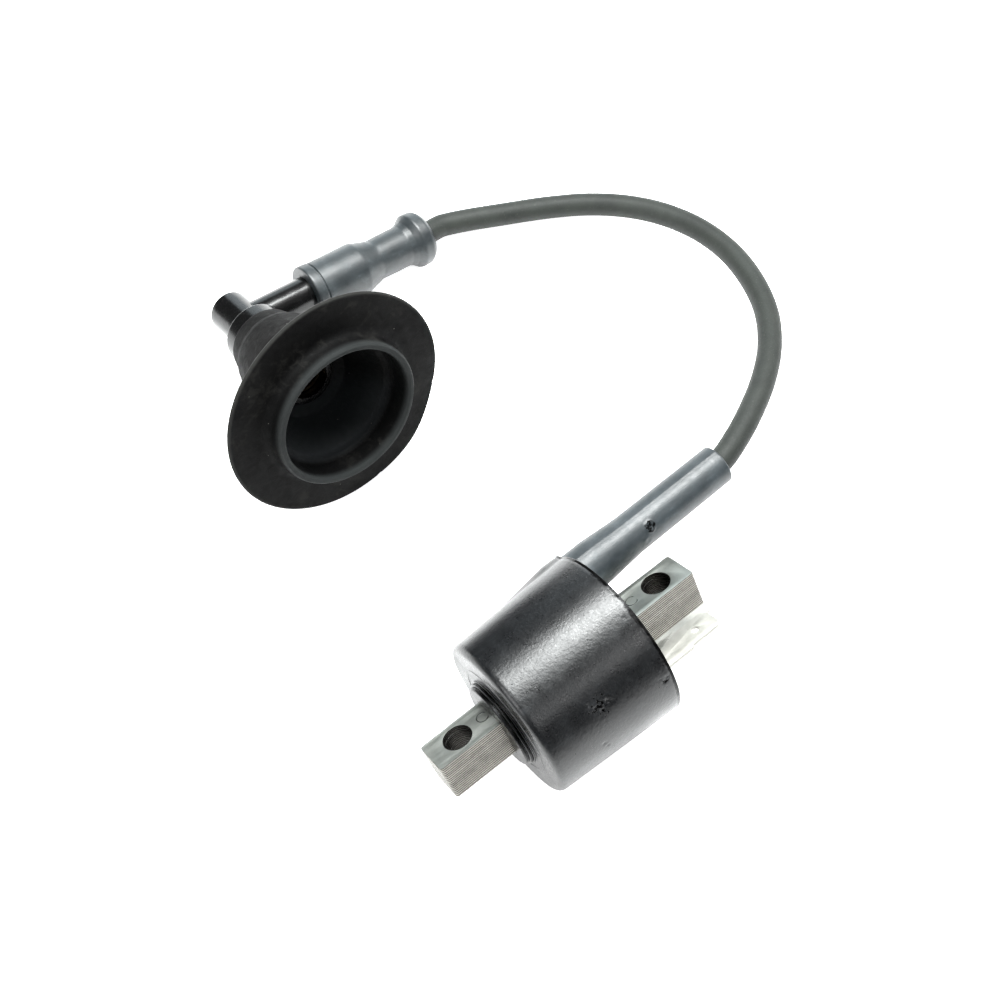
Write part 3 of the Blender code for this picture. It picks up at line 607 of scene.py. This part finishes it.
def add_piece(name, shape, matrix, material, body, node_names=(), sharp=34.0):
    """Makes an object of a bmesh, smooth but for its sharp edges."""
    bmesh.ops.recalc_face_normals(shape, faces=shape.faces)
    mesh = bpy.data.meshes.new(name)
    shape.to_mesh(mesh)
    shape.free()
    mesh.transform(matrix)
    piece = bpy.data.objects.new(name, mesh)
    bpy.context.scene.collection.objects.link(piece)
    mesh.materials.append(material)
    shade(piece, sharp)
    if body is not None:
        settle(piece, body, node_names)
    return piece


def settle(piece, body, node_names):
    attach(piece, body)
    if node_names:
        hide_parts(*node_names)


def shade(piece, sharp):
    piece.data.shade_smooth()
    piece.data.set_sharp_from_angle(angle=math.radians(sharp))


def lathe(profile, sides, bend=None, closed=False):
    """A bmesh of the profile turned about Z. bend takes (angle, radius, height) and gives the last two."""
    shape = bmesh.new()
    rings = []
    for radius, height in profile:
        if radius < 0.0001:
            rings.append([shape.verts.new((0.0, 0.0, height * MM))])
            continue
        ring = []
        for side in range(sides):
            angle = math.tau * side / sides
            far, high = bend(angle, radius, height) if bend else (radius, height)
            ring.append(shape.verts.new((far * math.cos(angle) * MM, far * math.sin(angle) * MM, high * MM)))
        rings.append(ring)
    pairs = list(zip(rings, rings[1:]))
    if closed:
        pairs.append((rings[-1], rings[0]))
    for one, two in pairs:
        for side in range(sides):
            after = (side + 1) % sides
            near_pair = [one[side % len(one)], one[after % len(one)]]
            corners = near_pair + [two[after % len(two)], two[side % len(two)]]
            shape.faces.new(list(dict.fromkeys(corners)))
    return shape


def apply_modifiers(piece):
    graph = bpy.context.evaluated_depsgraph_get()
    mesh = bpy.data.meshes.new_from_object(piece.evaluated_get(graph))
    old = piece.data
    piece.modifiers.clear()
    piece.data = mesh
    mesh.name = old.name
    bpy.data.meshes.remove(old)


def cut(piece, cutters, operation="DIFFERENCE"):
    """Cuts or joins helper objects with the piece, then removes them."""
    for cutter in cutters:
        boolean = piece.modifiers.new("cut", "BOOLEAN")
        boolean.operation = operation
        boolean.object = cutter
        boolean.solver = "EXACT"
    apply_modifiers(piece)
    for cutter in cutters:
        bpy.data.objects.remove(cutter, do_unlink=True)


def helper(shape, matrix):
    """A helper object for cut, of a bmesh."""
    bmesh.ops.recalc_face_normals(shape, faces=shape.faces)
    mesh = bpy.data.meshes.new("helper")
    shape.to_mesh(mesh)
    shape.free()
    item = bpy.data.objects.new("helper", mesh)
    bpy.context.scene.collection.objects.link(item)
    item.matrix_world = matrix
    return item


def helper_box(size, centre, matrix):
    shape = bmesh.new()
    scale = Matrix.Diagonal((size[0] * MM, size[1] * MM, size[2] * MM, 1.0))
    bmesh.ops.create_cube(shape, size=1.0, matrix=Matrix.Translation(Vector(centre) * MM) @ scale)
    return helper(shape, matrix)


def tidy_faces(piece):
    """Clears the slivers that a cut leaves, and keeps flat faces flat in the shading."""
    shape = bmesh.new()
    shape.from_mesh(piece.data)
    bmesh.ops.remove_doubles(shape, verts=shape.verts, dist=0.000002)
    shape.to_mesh(piece.data)
    shape.free()
    weighted = piece.modifiers.new("weighted", "WEIGHTED_NORMAL")
    weighted.keep_sharp = True
    weighted.weight = 50


# ---------------------------------------------------------------- lead


def add_lead(material):
    """The high tension lead, from inside the tower to the screw in the cap's arm."""
    start = [TOWER_MOUTH + SLEEVE_WAY * distance for distance in (-3.4, 12.0, 27.0, SLEEVE_LENGTH)]
    arm = [CAP @ Vector((distance * MM, 0.0, 0.0)) / MM for distance in (60.6, 54.6, 42.0, 28.0, 9.4)]
    points = start + [Vector(point) for point in LEAD_ROUTE] + arm
    curve = bpy.data.curves.new("ht_cable", "CURVE")
    curve.dimensions = "3D"
    curve.bevel_depth = LEAD_DIAMETER * 0.5
    curve.bevel_resolution = 8
    curve.resolution_u = 14
    curve.use_fill_caps = True
    spline = curve.splines.new("BEZIER")
    spline.bezier_points.add(len(points) - 1)
    last = len(points) - 1
    for index, (bezier, point) in enumerate(zip(spline.bezier_points, points)):
        before = points[max(index - 1, 0)]
        after = points[min(index + 1, last)]
        way = (after - before).normalized()
        bezier.handle_left_type = bezier.handle_right_type = "FREE"
        bezier.co = point * MM
        bezier.handle_left = (point - way * (point - before).length / 3) * MM
        bezier.handle_right = (point + way * (after - point).length / 3) * MM
    cable = bpy.data.objects.new("ht_cable", curve)
    bpy.context.scene.collection.objects.link(cable)
    curve.materials.append(material)
    settle(cable, "coil", ["ht_lead"])


# ---------------------------------------------------------------- coil


TOWER_RADIUS = 6.2
TOWER_NOSE = 3.8
TOWER_BORE = 5.25
RIM = 14.2
# Dents in the housing's wall: place along the core, angle from the bar's top, size and depth
DENTS = [
    (-0.5, -75.0, 0.44, 0.48),
    (0.4, -77.0, 0.28, 0.34),
    (-1.3, -73.0, 0.26, 0.27),
    (-4.1, -70.0, 0.34, 0.41),
    (-3.3, -74.0, 0.32, 0.42),
    (-2.2, -78.0, 0.36, 0.37),
    (-2.7, -81.0, 0.22, 0.26),
    (11.8, -89.0, 0.3, 0.41),
    (12.6, -87.0, 0.24, 0.34),
    (11.1, -86.0, 0.18, 0.24),
    (-4.9, -102.0, 0.29, 0.37),
    (-4.3, -106.0, 0.2, 0.27),
    (9.6, -55.0, 0.2, 0.17),
    (11.9, -42.0, 0.22, 0.2),
    (13.0, -31.0, 0.24, 0.2),
]


def housing_bend(turn, radius, x):
    """The tower's bulge, the flash at the rim, the dents and a slight mould wobble."""
    angle = math.pi - turn
    if x < -15.9 or radius < 15.0:
        return radius, x
    aside = (angle - TOWER_ANGLE + math.pi) % math.tau - math.pi
    share = min(max((x + 8.5) / 18.5, -0.4), 1.0)
    tube = TOWER_NOSE + (TOWER_RADIUS - TOWER_NOSE) * share
    reach = TOWER_DISTANCE * math.sin(aside)
    on_wall = radius > 18.0 and x < RIM - 0.01
    outer = radius
    if abs(reach) < tube and abs(aside) < 1.0:
        bulge = TOWER_DISTANCE * math.cos(aside) + math.sqrt(tube * tube - reach * reach)
        full = smooth_max(radius, bulge, 0.7)
        outer = full if radius > 17.5 else radius
    circle = (math.cos(angle) * 6.0, math.sin(angle) * 6.0)
    if on_wall:
        outer += 0.03 * wobble(1, circle[0] * 0.5, circle[1] * 0.5, x * 0.12)
        rag = 0.5 + 0.5 * wobble(2, circle[0] * 1.6, circle[1] * 1.6, 0.0)
        groove = math.exp(-(((x - (RIM - 0.62)) / 0.16) ** 2))
        outer -= 0.16 * groove * (0.35 + rag)
        if x > RIM - 0.4:
            outer += 0.09 * rag
        for place, degrees, size, depth in DENTS:
            across = (angle - math.radians(degrees) + math.pi) % math.tau - math.pi
            distance = math.hypot(x - place, across * radius)
            if distance < size * 3.0:
                ragged = 1.0 + 0.5 * wobble(3, circle[0] * 5.0, circle[1] * 5.0, x * 2.2)
                outer -= depth * math.exp(-((distance / (size * ragged)) ** 2))
    return outer, x


def add_housing(material):
    outline = [
        (0.0, -18.5, 0.0),
        (9.6, -18.5, 0.35),
        (9.6, -17.95, 0.06),
        (9.3, -17.9, 0.06),
        (9.3, -17.65, 0.06),
        (10.1, -17.6, 0.2),
        (10.1, -17.15, 0.06),
        (9.8, -17.1, 0.06),
        (9.8, -16.95, 0.06),
        (10.4, -16.9, 0.15),
        (10.4, -16.5, 0.12),
        (12.0, -16.5, 0.1),
        (12.2, -16.62, 0.1),
        (13.0, -16.62, 0.1),
        (13.2, -16.5, 0.1),
        (18.5, -16.5, 1.5),
        (19.8, RIM, 0.12),
        (17.0, RIM, 0.0),
        (0.0, RIM, 0.0),
    ]
    shape = lathe(divided(rounded(outline), 0.42), 330, housing_bend)
    shell = add_piece("housing_shell", shape, COIL_AXLE, material, None)
    left, right = -14.7, RIM + 2.0

    def inner_radius(x):
        return 18.5 + 1.3 * (x + 16.5) / 30.7 - 1.8

    cavity = helper(
        lathe([(0.0, left), (inner_radius(left), left), (inner_radius(right), right), (0.0, right)], 128),
        COIL_AXLE,
    )
    bore_outline = [(0.0, 5.0), (3.7, 5.0), (3.7, 9.9), (TOWER_BORE, 9.9), (TOWER_BORE, right), (0.0, right)]
    bore = helper(lathe(bore_outline, 96), TOWER_AXLE)
    slot = helper_box((9.0, 9.5, 9.5), (-18.0, 0.0, 0.0), COIL)
    cut(shell, [cavity, bore, slot])
    tidy_faces(shell)
    shade(shell, 34.0)
    settle(shell, "coil", ["coil_housing"])


def add_potting(material):
    """The cast disc in the housing's mouth, climbing a little at the wall."""

    def bend(turn, radius, height):
        if height < 13.0 or radius < 0.2:
            return radius, height
        climb = 0.55 * math.exp(-((18.0 - radius) / 0.7))
        ripple = wobble(5, radius * math.cos(turn) * 0.3, radius * math.sin(turn) * 0.3, 0)
        return radius, height + climb + 0.06 * ripple

    outline = [(0.0, 13.15), (17.95, 13.15), (17.6, 5.5), (0.0, 5.5)]
    disc = add_piece("potting_cast", lathe(divided(outline, 0.7), 144, bend), COIL_AXLE, material, None)
    well = helper(lathe([(0.0, 4.0), (5.5, 4.0), (5.5, 16.0), (0.0, 16.0)], 96), TOWER_AXLE)
    bar = helper_box((20.0, 9.1, 9.1), (9.0, 0.0, 0.0), COIL)
    cut(disc, [well, bar])
    tidy_faces(disc)
    shade(disc, 34.0)
    settle(disc, "coil", ["potting_compound"])


def flat_mesh(loops, thickness, edge):
    """A flat outline with holes as a mesh, its edges broken by a small round."""
    curve = bpy.data.curves.new("flat", "CURVE")
    curve.dimensions = "2D"
    curve.fill_mode = "BOTH"
    curve.extrude = (thickness * 0.5 - edge) * MM
    curve.bevel_depth = edge * MM
    curve.bevel_resolution = 1
    curve.offset = -edge * MM
    for loop in loops:
        spline = curve.splines.new("POLY")
        spline.points.add(len(loop) - 1)
        for point, (x, y) in zip(spline.points, loop):
            point.co = (x * MM, y * MM, 0.0, 1.0)
        spline.use_cyclic_u = True
    item = bpy.data.objects.new("flat", curve)
    bpy.context.scene.collection.objects.link(item)
    mesh = bpy.data.meshes.new_from_object(item.evaluated_get(bpy.context.evaluated_depsgraph_get()))
    bpy.data.objects.remove(item, do_unlink=True)
    shape = bmesh.new()
    shape.from_mesh(mesh)
    bmesh.ops.remove_doubles(shape, verts=shape.verts, dist=0.000001)
    return shape


def ring_points(centre, radius, sides):
    turns = [math.tau * side / sides for side in range(sides)]
    return [(centre[0] + radius * math.cos(turn), centre[1] + radius * math.sin(turn)) for turn in turns]


def crimp_tool(x, y, height):
    """A thin C of round wire, sunk into a face to leave the stack's crimp mark."""
    curve = bpy.data.curves.new("crimp", "CURVE")
    curve.dimensions = "3D"
    curve.bevel_depth = 0.08 * MM
    curve.bevel_resolution = 2
    curve.use_fill_caps = True
    spline = curve.splines.new("POLY")
    spline.points.add(30)
    for step, point in enumerate(spline.points):
        angle = math.radians(20.0 + 290.0 * step / 30)
        along = x + CRIMP_RADIUS * math.cos(angle)
        across = y + CRIMP_RADIUS * math.sin(angle)
        point.co = (along * MM, across * MM, height * MM, 1.0)
    item = bpy.data.objects.new("crimp", curve)
    bpy.context.scene.collection.objects.link(item)
    mesh = bpy.data.meshes.new_from_object(item.evaluated_get(bpy.context.evaluated_depsgraph_get()))
    bpy.data.objects.remove(item, do_unlink=True)
    shape = bmesh.new()
    shape.from_mesh(mesh)
    return shape


def add_laminations(face_steel, edge_steel):
    spread_out = random.Random(18)
    length, width, corner, pitch = 67.4, 9.0, 0.7, 0.5
    for number, node_name in enumerate(LAMINATIONS):
        outline = []
        for quarter, (sign_x, sign_y) in enumerate(((1, 1), (-1, 1), (-1, -1), (1, -1))):
            for step in range(5):
                angle = math.radians(quarter * 90.0 + step * 22.5)
                outline.append(
                    (
                        sign_x * (length * 0.5 - corner) + corner * math.cos(angle),
                        sign_y * (width * 0.5 - corner) + corner * math.sin(angle),
                    )
                )
        holes = [
            ring_points((side * HOLE_PLACE, 0.0), HOLE_RADIUS + spread_out.uniform(-0.03, 0.02), 48)
            for side in (-1, 1)
        ]
        shape = flat_mesh([outline] + holes, 0.45, 0.08)
        shift = Vector(
            (
                spread_out.uniform(-0.02, 0.02) * MM,
                spread_out.uniform(-0.025, 0.025) * MM,
                (number - 8.5) * pitch * MM,
            )
        )
        place = COIL @ Matrix.Translation(shift)
        plate = add_piece(f"core_plate_{number + 1:02d}", shape, place, face_steel, None)
        plate.data.materials.append(edge_steel)
        flat_way = place.to_3x3() @ Vector((0.0, 0.0, 1.0))
        for face in plate.data.polygons:
            face.material_index = 0 if abs(face.normal.dot(flat_way)) > 0.95 else 1
        if number in (0, 17):
            height = 0.225 if number == 17 else -0.225
            tools = [crimp_tool(side * CRIMP_PLACE[0], CRIMP_PLACE[1], height) for side in (-1, 1)]
            cut(plate, [helper(tool, place) for tool in tools])
        shade(plate, 30.0)
        settle(plate, "coil", [node_name])


def add_blade(name, node_name, tip, shoulder, y, z, hole, material):
    half, half_shoulder = 3.15, 3.75
    upper = [(7.0, half_shoulder), (shoulder, half_shoulder)]
    for step in range(5):
        cosine = math.cos(math.radians(22.5 * step))
        upper.append((shoulder + 0.5 * (1 - cosine), half + 0.6 * cosine))
    upper += [(tip - 1.2, half), (tip - 0.35, half - 0.75), (tip, half - 1.35)]
    outline = [(x, y + offset) for x, offset in upper] + [(x, y - offset) for x, offset in reversed(upper)]
    loops = [outline]
    if hole:
        loops.append(ring_points((hole, y), 0.9, 32))
    shape = flat_mesh(loops, 0.8, 0.14)
    blade = add_piece(name, shape, COIL @ Matrix.Translation(Vector((0.0, 0.0, z * MM))), material, None)
    shade(blade, 34.0)
    settle(blade, "coil", [node_name])


def add_coil_sleeve(material):
    """The tapered sleeve, with its mould lines and the ring-shaped flaw halfway along."""
    length = SLEEVE_LENGTH
    outline = [
        (2.92, -3.4, 0.0),
        (2.92, length - 0.25, 0.0),
        (3.25, length, 0.1),
        (4.65, length, 0.35),
        (4.75, 15.5, 6.0),
        (5.45, 6.0, 6.0),
        (5.45, 0.75, 0.25),
        (5.0, 0.5, 0.1),
        (5.0, -3.4, 0.0),
    ]

    def bend(turn, radius, height):
        if radius < 4.0:
            return radius, height
        radius += 0.035 * wobble(7, math.cos(turn) * 1.2, math.sin(turn) * 1.2, height * 0.16)
        for line in (0.5, 0.5 + math.pi):
            aside = (turn - line + math.pi) % math.tau - math.pi
            radius += 0.07 * math.exp(-((aside * radius / 0.22) ** 2))
        aside = (turn - FLAW_TURN + math.pi) % math.tau - math.pi
        away = math.hypot(aside * radius, height - FLAW_HEIGHT)
        radius += 0.20 * math.exp(-(((away - 1.05) / 0.30) ** 2)) - 0.10 * math.exp(-((away / 0.6) ** 2))
        away = math.hypot(aside * radius - 2.6, height - FLAW_HEIGHT + 1.9)
        radius += 0.10 * math.exp(-(((away - 0.9) / 0.28) ** 2))
        return radius, height

    shape = lathe(divided(rounded(outline), 0.4, closed=True), 120, bend, closed=True)
    add_piece("coil_boot", shape, SLEEVE_AXLE, material, "coil", ["coil_sleeve"], 40.0)


FLAW_HEIGHT = 19.5


def turn_towards(matrix, way):
    """The turn about the frame's Z at which it faces a world direction."""
    local = matrix.to_3x3().transposed() @ way
    return math.atan2(local.y, local.x)


FLAW_TURN = turn_towards(SLEEVE_AXLE, Vector((0.0, -0.55, 0.84)))


# ---------------------------------------------------------------- plug cap


def add_cap(material):
    outline = [
        (0.0, 27.8, 0.0),
        (6.5, 27.8, 0.3),
        (6.5, 8.0, 0.0),
        (7.65, 8.0, 0.3),
        (7.65, 4.0, 0.45),
        (5.2, 4.0, 0.25),
        (5.2, -7.8, 0.7),
        (3.6, -7.8, 0.2),
        (3.4, -7.65, 0.2),
        (0.0, -7.65, 0.0),
    ]
    body = add_piece("cap_shell", lathe(divided(rounded(outline), 1.5), 112), CAP, material, None)
    arm_outline = [(0.0, 0.0, 0.0), (4.45, 0.0, 0.0), (4.45, 31.4, 0.3), (0.0, 31.4, 0.0)]
    arm = helper(lathe(divided(rounded(arm_outline), 1.5), 96), ARM_AXLE)
    cut(body, [arm], "UNION")
    chamber = helper(lathe([(0.0, -5.6), (3.4, -5.6), (3.4, 18.0), (0.0, 18.0)], 64), CAP)
    socket = helper(lathe([(0.0, 17.6), (4.9, 17.6), (4.9, 30.0), (0.0, 30.0)], 64), CAP)
    bore = helper(lathe([(0.0, 0.5), (3.1, 0.5), (3.1, 35.0), (0.0, 35.0)], 64), ARM_AXLE)
    cut(body, [chamber, socket, bore])
    tidy_faces(body)
    shade(body, 32.0)
    settle(body, "plug_cap", ["cap_body"])


def add_cap_boot(material):
    """The rubber boot on the arm: step ring, cone, neck and a thick bead."""
    outline = [
        (4.5, 17.9, 0.0),
        (4.5, 31.6, 0.0),
        (2.95, 31.6, 0.0),
        (2.95, 53.3, 0.1),
        (3.6, 53.6, 0.1),
        (6.0, 53.6, 0.7),
        (7.05, 52.4, 1.2),
        (7.1, 49.9, 1.2),
        (5.9, 48.3, 0.9),
        (5.35, 46.8, 1.5),
        (5.2, 38.0, 3.0),
        (6.75, 32.8, 2.2),
        (6.7, 21.0, 0.1),
        (6.4, 20.8, 0.06),
        (6.4, 20.5, 0.06),
        (6.9, 20.3, 0.12),
        (6.9, 17.9, 0.45),
    ]

    def bend(turn, radius, height):
        if radius < 5.0:
            return radius, height
        radius += 0.05 * wobble(9, math.cos(turn) * 1.3, math.sin(turn) * 1.3, height * 0.2)
        if 31.0 < height < 41.0:
            fold = math.sin((height - 31.0) / 10.0 * math.pi)
            crease = wobble(10, math.cos(turn) * 2.4, math.sin(turn) * 2.4, height * 0.45)
            radius -= 0.10 * fold * max(0.0, crease)
        for line in (1.2, 1.2 + math.pi):
            aside = (turn - line + math.pi) % math.tau - math.pi
            radius += 0.05 * math.exp(-((aside * radius / 0.22) ** 2))
        if height > 47.5:
            radius += 0.10 * wobble(11, math.cos(turn) * 1.1, math.sin(turn) * 1.1, height * 0.1)
        return radius, height

    shape = lathe(divided(rounded(outline, closed=True), 0.4, closed=True), 128, bend, closed=True)
    add_piece("cap_boot", shape, ARM_AXLE, material, "plug_cap", ["cap_sleeve"], 40.0)


def add_seal(material):
    """The shroud seal: funnel, flange and collar, with the flange warped where it lies on the bench."""
    outline = [
        (6.9, 8.4, 0.0),
        (6.9, 27.0, 0.0),
        (9.6, 28.2, 0.8),
        (14.4, 37.1, 0.5),
        (15.6, 37.7, 0.5),
        (16.15, 38.8, 0.4),
        (16.4, 44.0, 0.4),
        (16.9, 44.48, 0.25),
        (17.6, 44.46, 0.3),
        (18.05, 43.9, 0.4),
        (18.25, 39.7, 1.9),
        (27.6, 39.55, 0.2),
        (27.9, 39.1, 0.2),
        (27.6, 38.5, 0.2),
        (18.8, 38.0, 0.8),
        (17.1, 37.5, 0.8),
        (13.8, 23.8, 2.0),
        (10.6, 14.4, 1.0),
        (9.7, 12.7, 0.6),
        (8.6, 8.8, 0.3),
        (8.3, 8.35, 0.2),
    ]
    down = turn_towards(CAP, Vector((0.45, 0.0, -1.0)))

    def bend(turn, radius, height):
        round_x, round_y = math.cos(turn), math.sin(turn)
        outer = min(max((radius - 18.4) / 9.4, 0.0), 1.0)
        aside = (turn - down + math.pi) % math.tau - math.pi
        if radius > 18.4 and height > 37.0:
            height += outer * outer * 0.35 * wobble(12, round_x * 1.4, round_y * 1.4, 0.0)
            height += outer * outer * 0.5 * math.exp(-((aside / 0.35) ** 2))
            height -= outer * outer * 0.4 * math.exp(-(((aside - 0.7) / 0.30) ** 2))
            radius -= outer * 0.2 * math.exp(-(((aside - 0.45) / 0.2) ** 2))
            for nick, depth in ((down + 0.62, 0.30), (down - 0.35, 0.26)):
                near = (turn - nick + math.pi) % math.tau - math.pi
                radius -= outer**3 * depth * math.exp(-((near * radius / 0.35) ** 2))
        elif height > 38.8:
            radius += 0.12 * wobble(13, round_x * 1.2, round_y * 1.2, height * 0.08)
            height += 0.07 * wobble(14, round_x * 1.8, round_y * 1.8, 0.0)
        elif height > 11.0:
            radius += 0.08 * wobble(15, round_x * 1.3, round_y * 1.3, height * 0.1)
        return radius, height

    shape = lathe(divided(rounded(outline, closed=True), 0.55, closed=True), 220, bend, closed=True)
    add_piece("seal_skirt", shape, CAP, material, "seal", ["shroud_seal"], 45.0)


def dress_inner_nodes():
    """Procedural finishes for the CAD nodes that stay."""
    bobbin = plain_finish("bobbin_nylon", (0.62, 0.59, 0.50), (0.76, 0.73, 0.63), 0.45)
    lacquer, bare = (0.42, 0.14, 0.05), (0.66, 0.26, 0.10)
    copper = plain_finish("enamelled_wire", lacquer, bare, 0.30, 0.9, 2400.0, 0.00004, (1.0, 0.08, 0.08))
    paper = plain_finish("varnished_paper", (0.55, 0.45, 0.27), (0.72, 0.62, 0.42), 0.55, 0.0, 1500.0)
    # The brass is painted near-black as painted shade: the socket clip sits deep in the seal's funnel.
    brass = plain_finish("brass_in_painted_shade", (0.035, 0.028, 0.018), (0.08, 0.062, 0.036), 0.45, 1.0, 1800.0)
    ceramic = plain_finish("fired_ceramic", (0.70, 0.67, 0.60), (0.84, 0.81, 0.75), 0.5, 0.0, 900.0)
    wire = plain_finish("drawn_wire", (0.38, 0.38, 0.38), (0.58, 0.58, 0.57), 0.3, 1.0, 2000.0)
    finishes = {
        "primary_bobbin": bobbin,
        "secondary_bobbin": bobbin,
        "primary_winding": copper,
        "interlayer_insulation": paper,
        "tower_contact": brass,
        "lead_screw_terminal": brass,
        "plug_socket_clip": brass,
        "suppressor_resistor": ceramic,
        "contact_spring": wire,
    }
    for number in range(1, 5):
        finishes[f"secondary_winding_{number}"] = copper
    for name, material in finishes.items():
        for material_slot in frame["nodes"][name].material_slots:
            material_slot.link = "OBJECT"
            material_slot.material = material


add_camera()
add_cap(cap_phenolic())
CAP_BOOT_DARK, CAP_BOOT_LIGHT = (0.011, 0.015, 0.017), (0.028, 0.035, 0.038)
add_cap_boot(sleeve_rubber("cap_boot_rubber", ARM_AXLE, CAP_BOOT_DARK, CAP_BOOT_LIGHT, 0.34, 0.46))
add_seal(seal_rubber())
CAP_PIECES = ["cap_shell", "cap_boot", "seal_skirt", "lead_screw_terminal", "suppressor_resistor"]
CAP_PIECES += ["contact_spring", "plug_socket_clip"]
add_lead(lead_rubber())

add_housing(housing_plastic())
add_potting(cast_epoxy())
add_laminations(stamped_steel(), sheared_steel())
TIN = tinned_brass()
add_blade("front_blade", "front_terminal", 34.3, 25.6, -4.35, -9.7, 29.1, TIN)
add_blade("rear_blade", "rear_terminal", 37.6, 23.0, 3.9, -13.0, None, TIN)
FLAW = Vector((4.8 * math.cos(FLAW_TURN), 4.8 * math.sin(FLAW_TURN), FLAW_HEIGHT)) * MM
BOOT_DARK, BOOT_LIGHT = (0.013, 0.018, 0.021), (0.034, 0.043, 0.048)
add_coil_sleeve(sleeve_rubber("coil_boot_rubber", SLEEVE_AXLE, BOOT_DARK, BOOT_LIGHT, 0.36, 0.48, FLAW))
dress_inner_nodes()

add_world(0.10, 0.97)
add_softbox("key", 45.0, 70.0, 0.75, (0.42, 0.30), 15.0, (0.975, 1.0, 0.995))
add_softbox("left_fill", 175.0, 45.0, 0.9, (0.5, 0.5), 5.0)
add_softbox("right_fill", 0.0, 40.0, 0.9, (0.4, 0.4), 3.5)
add_softbox("back_card", 60.0, 12.0, 0.9, (0.55, 0.4), 1.5, (0.85, 0.95, 1.0))
add_softbox("front_card", -75.0, 52.0, 0.9, (0.3, 0.2), 1.1)
add_floor(floor_paper())
bpy.context.scene.view_settings.view_transform = "Standard"
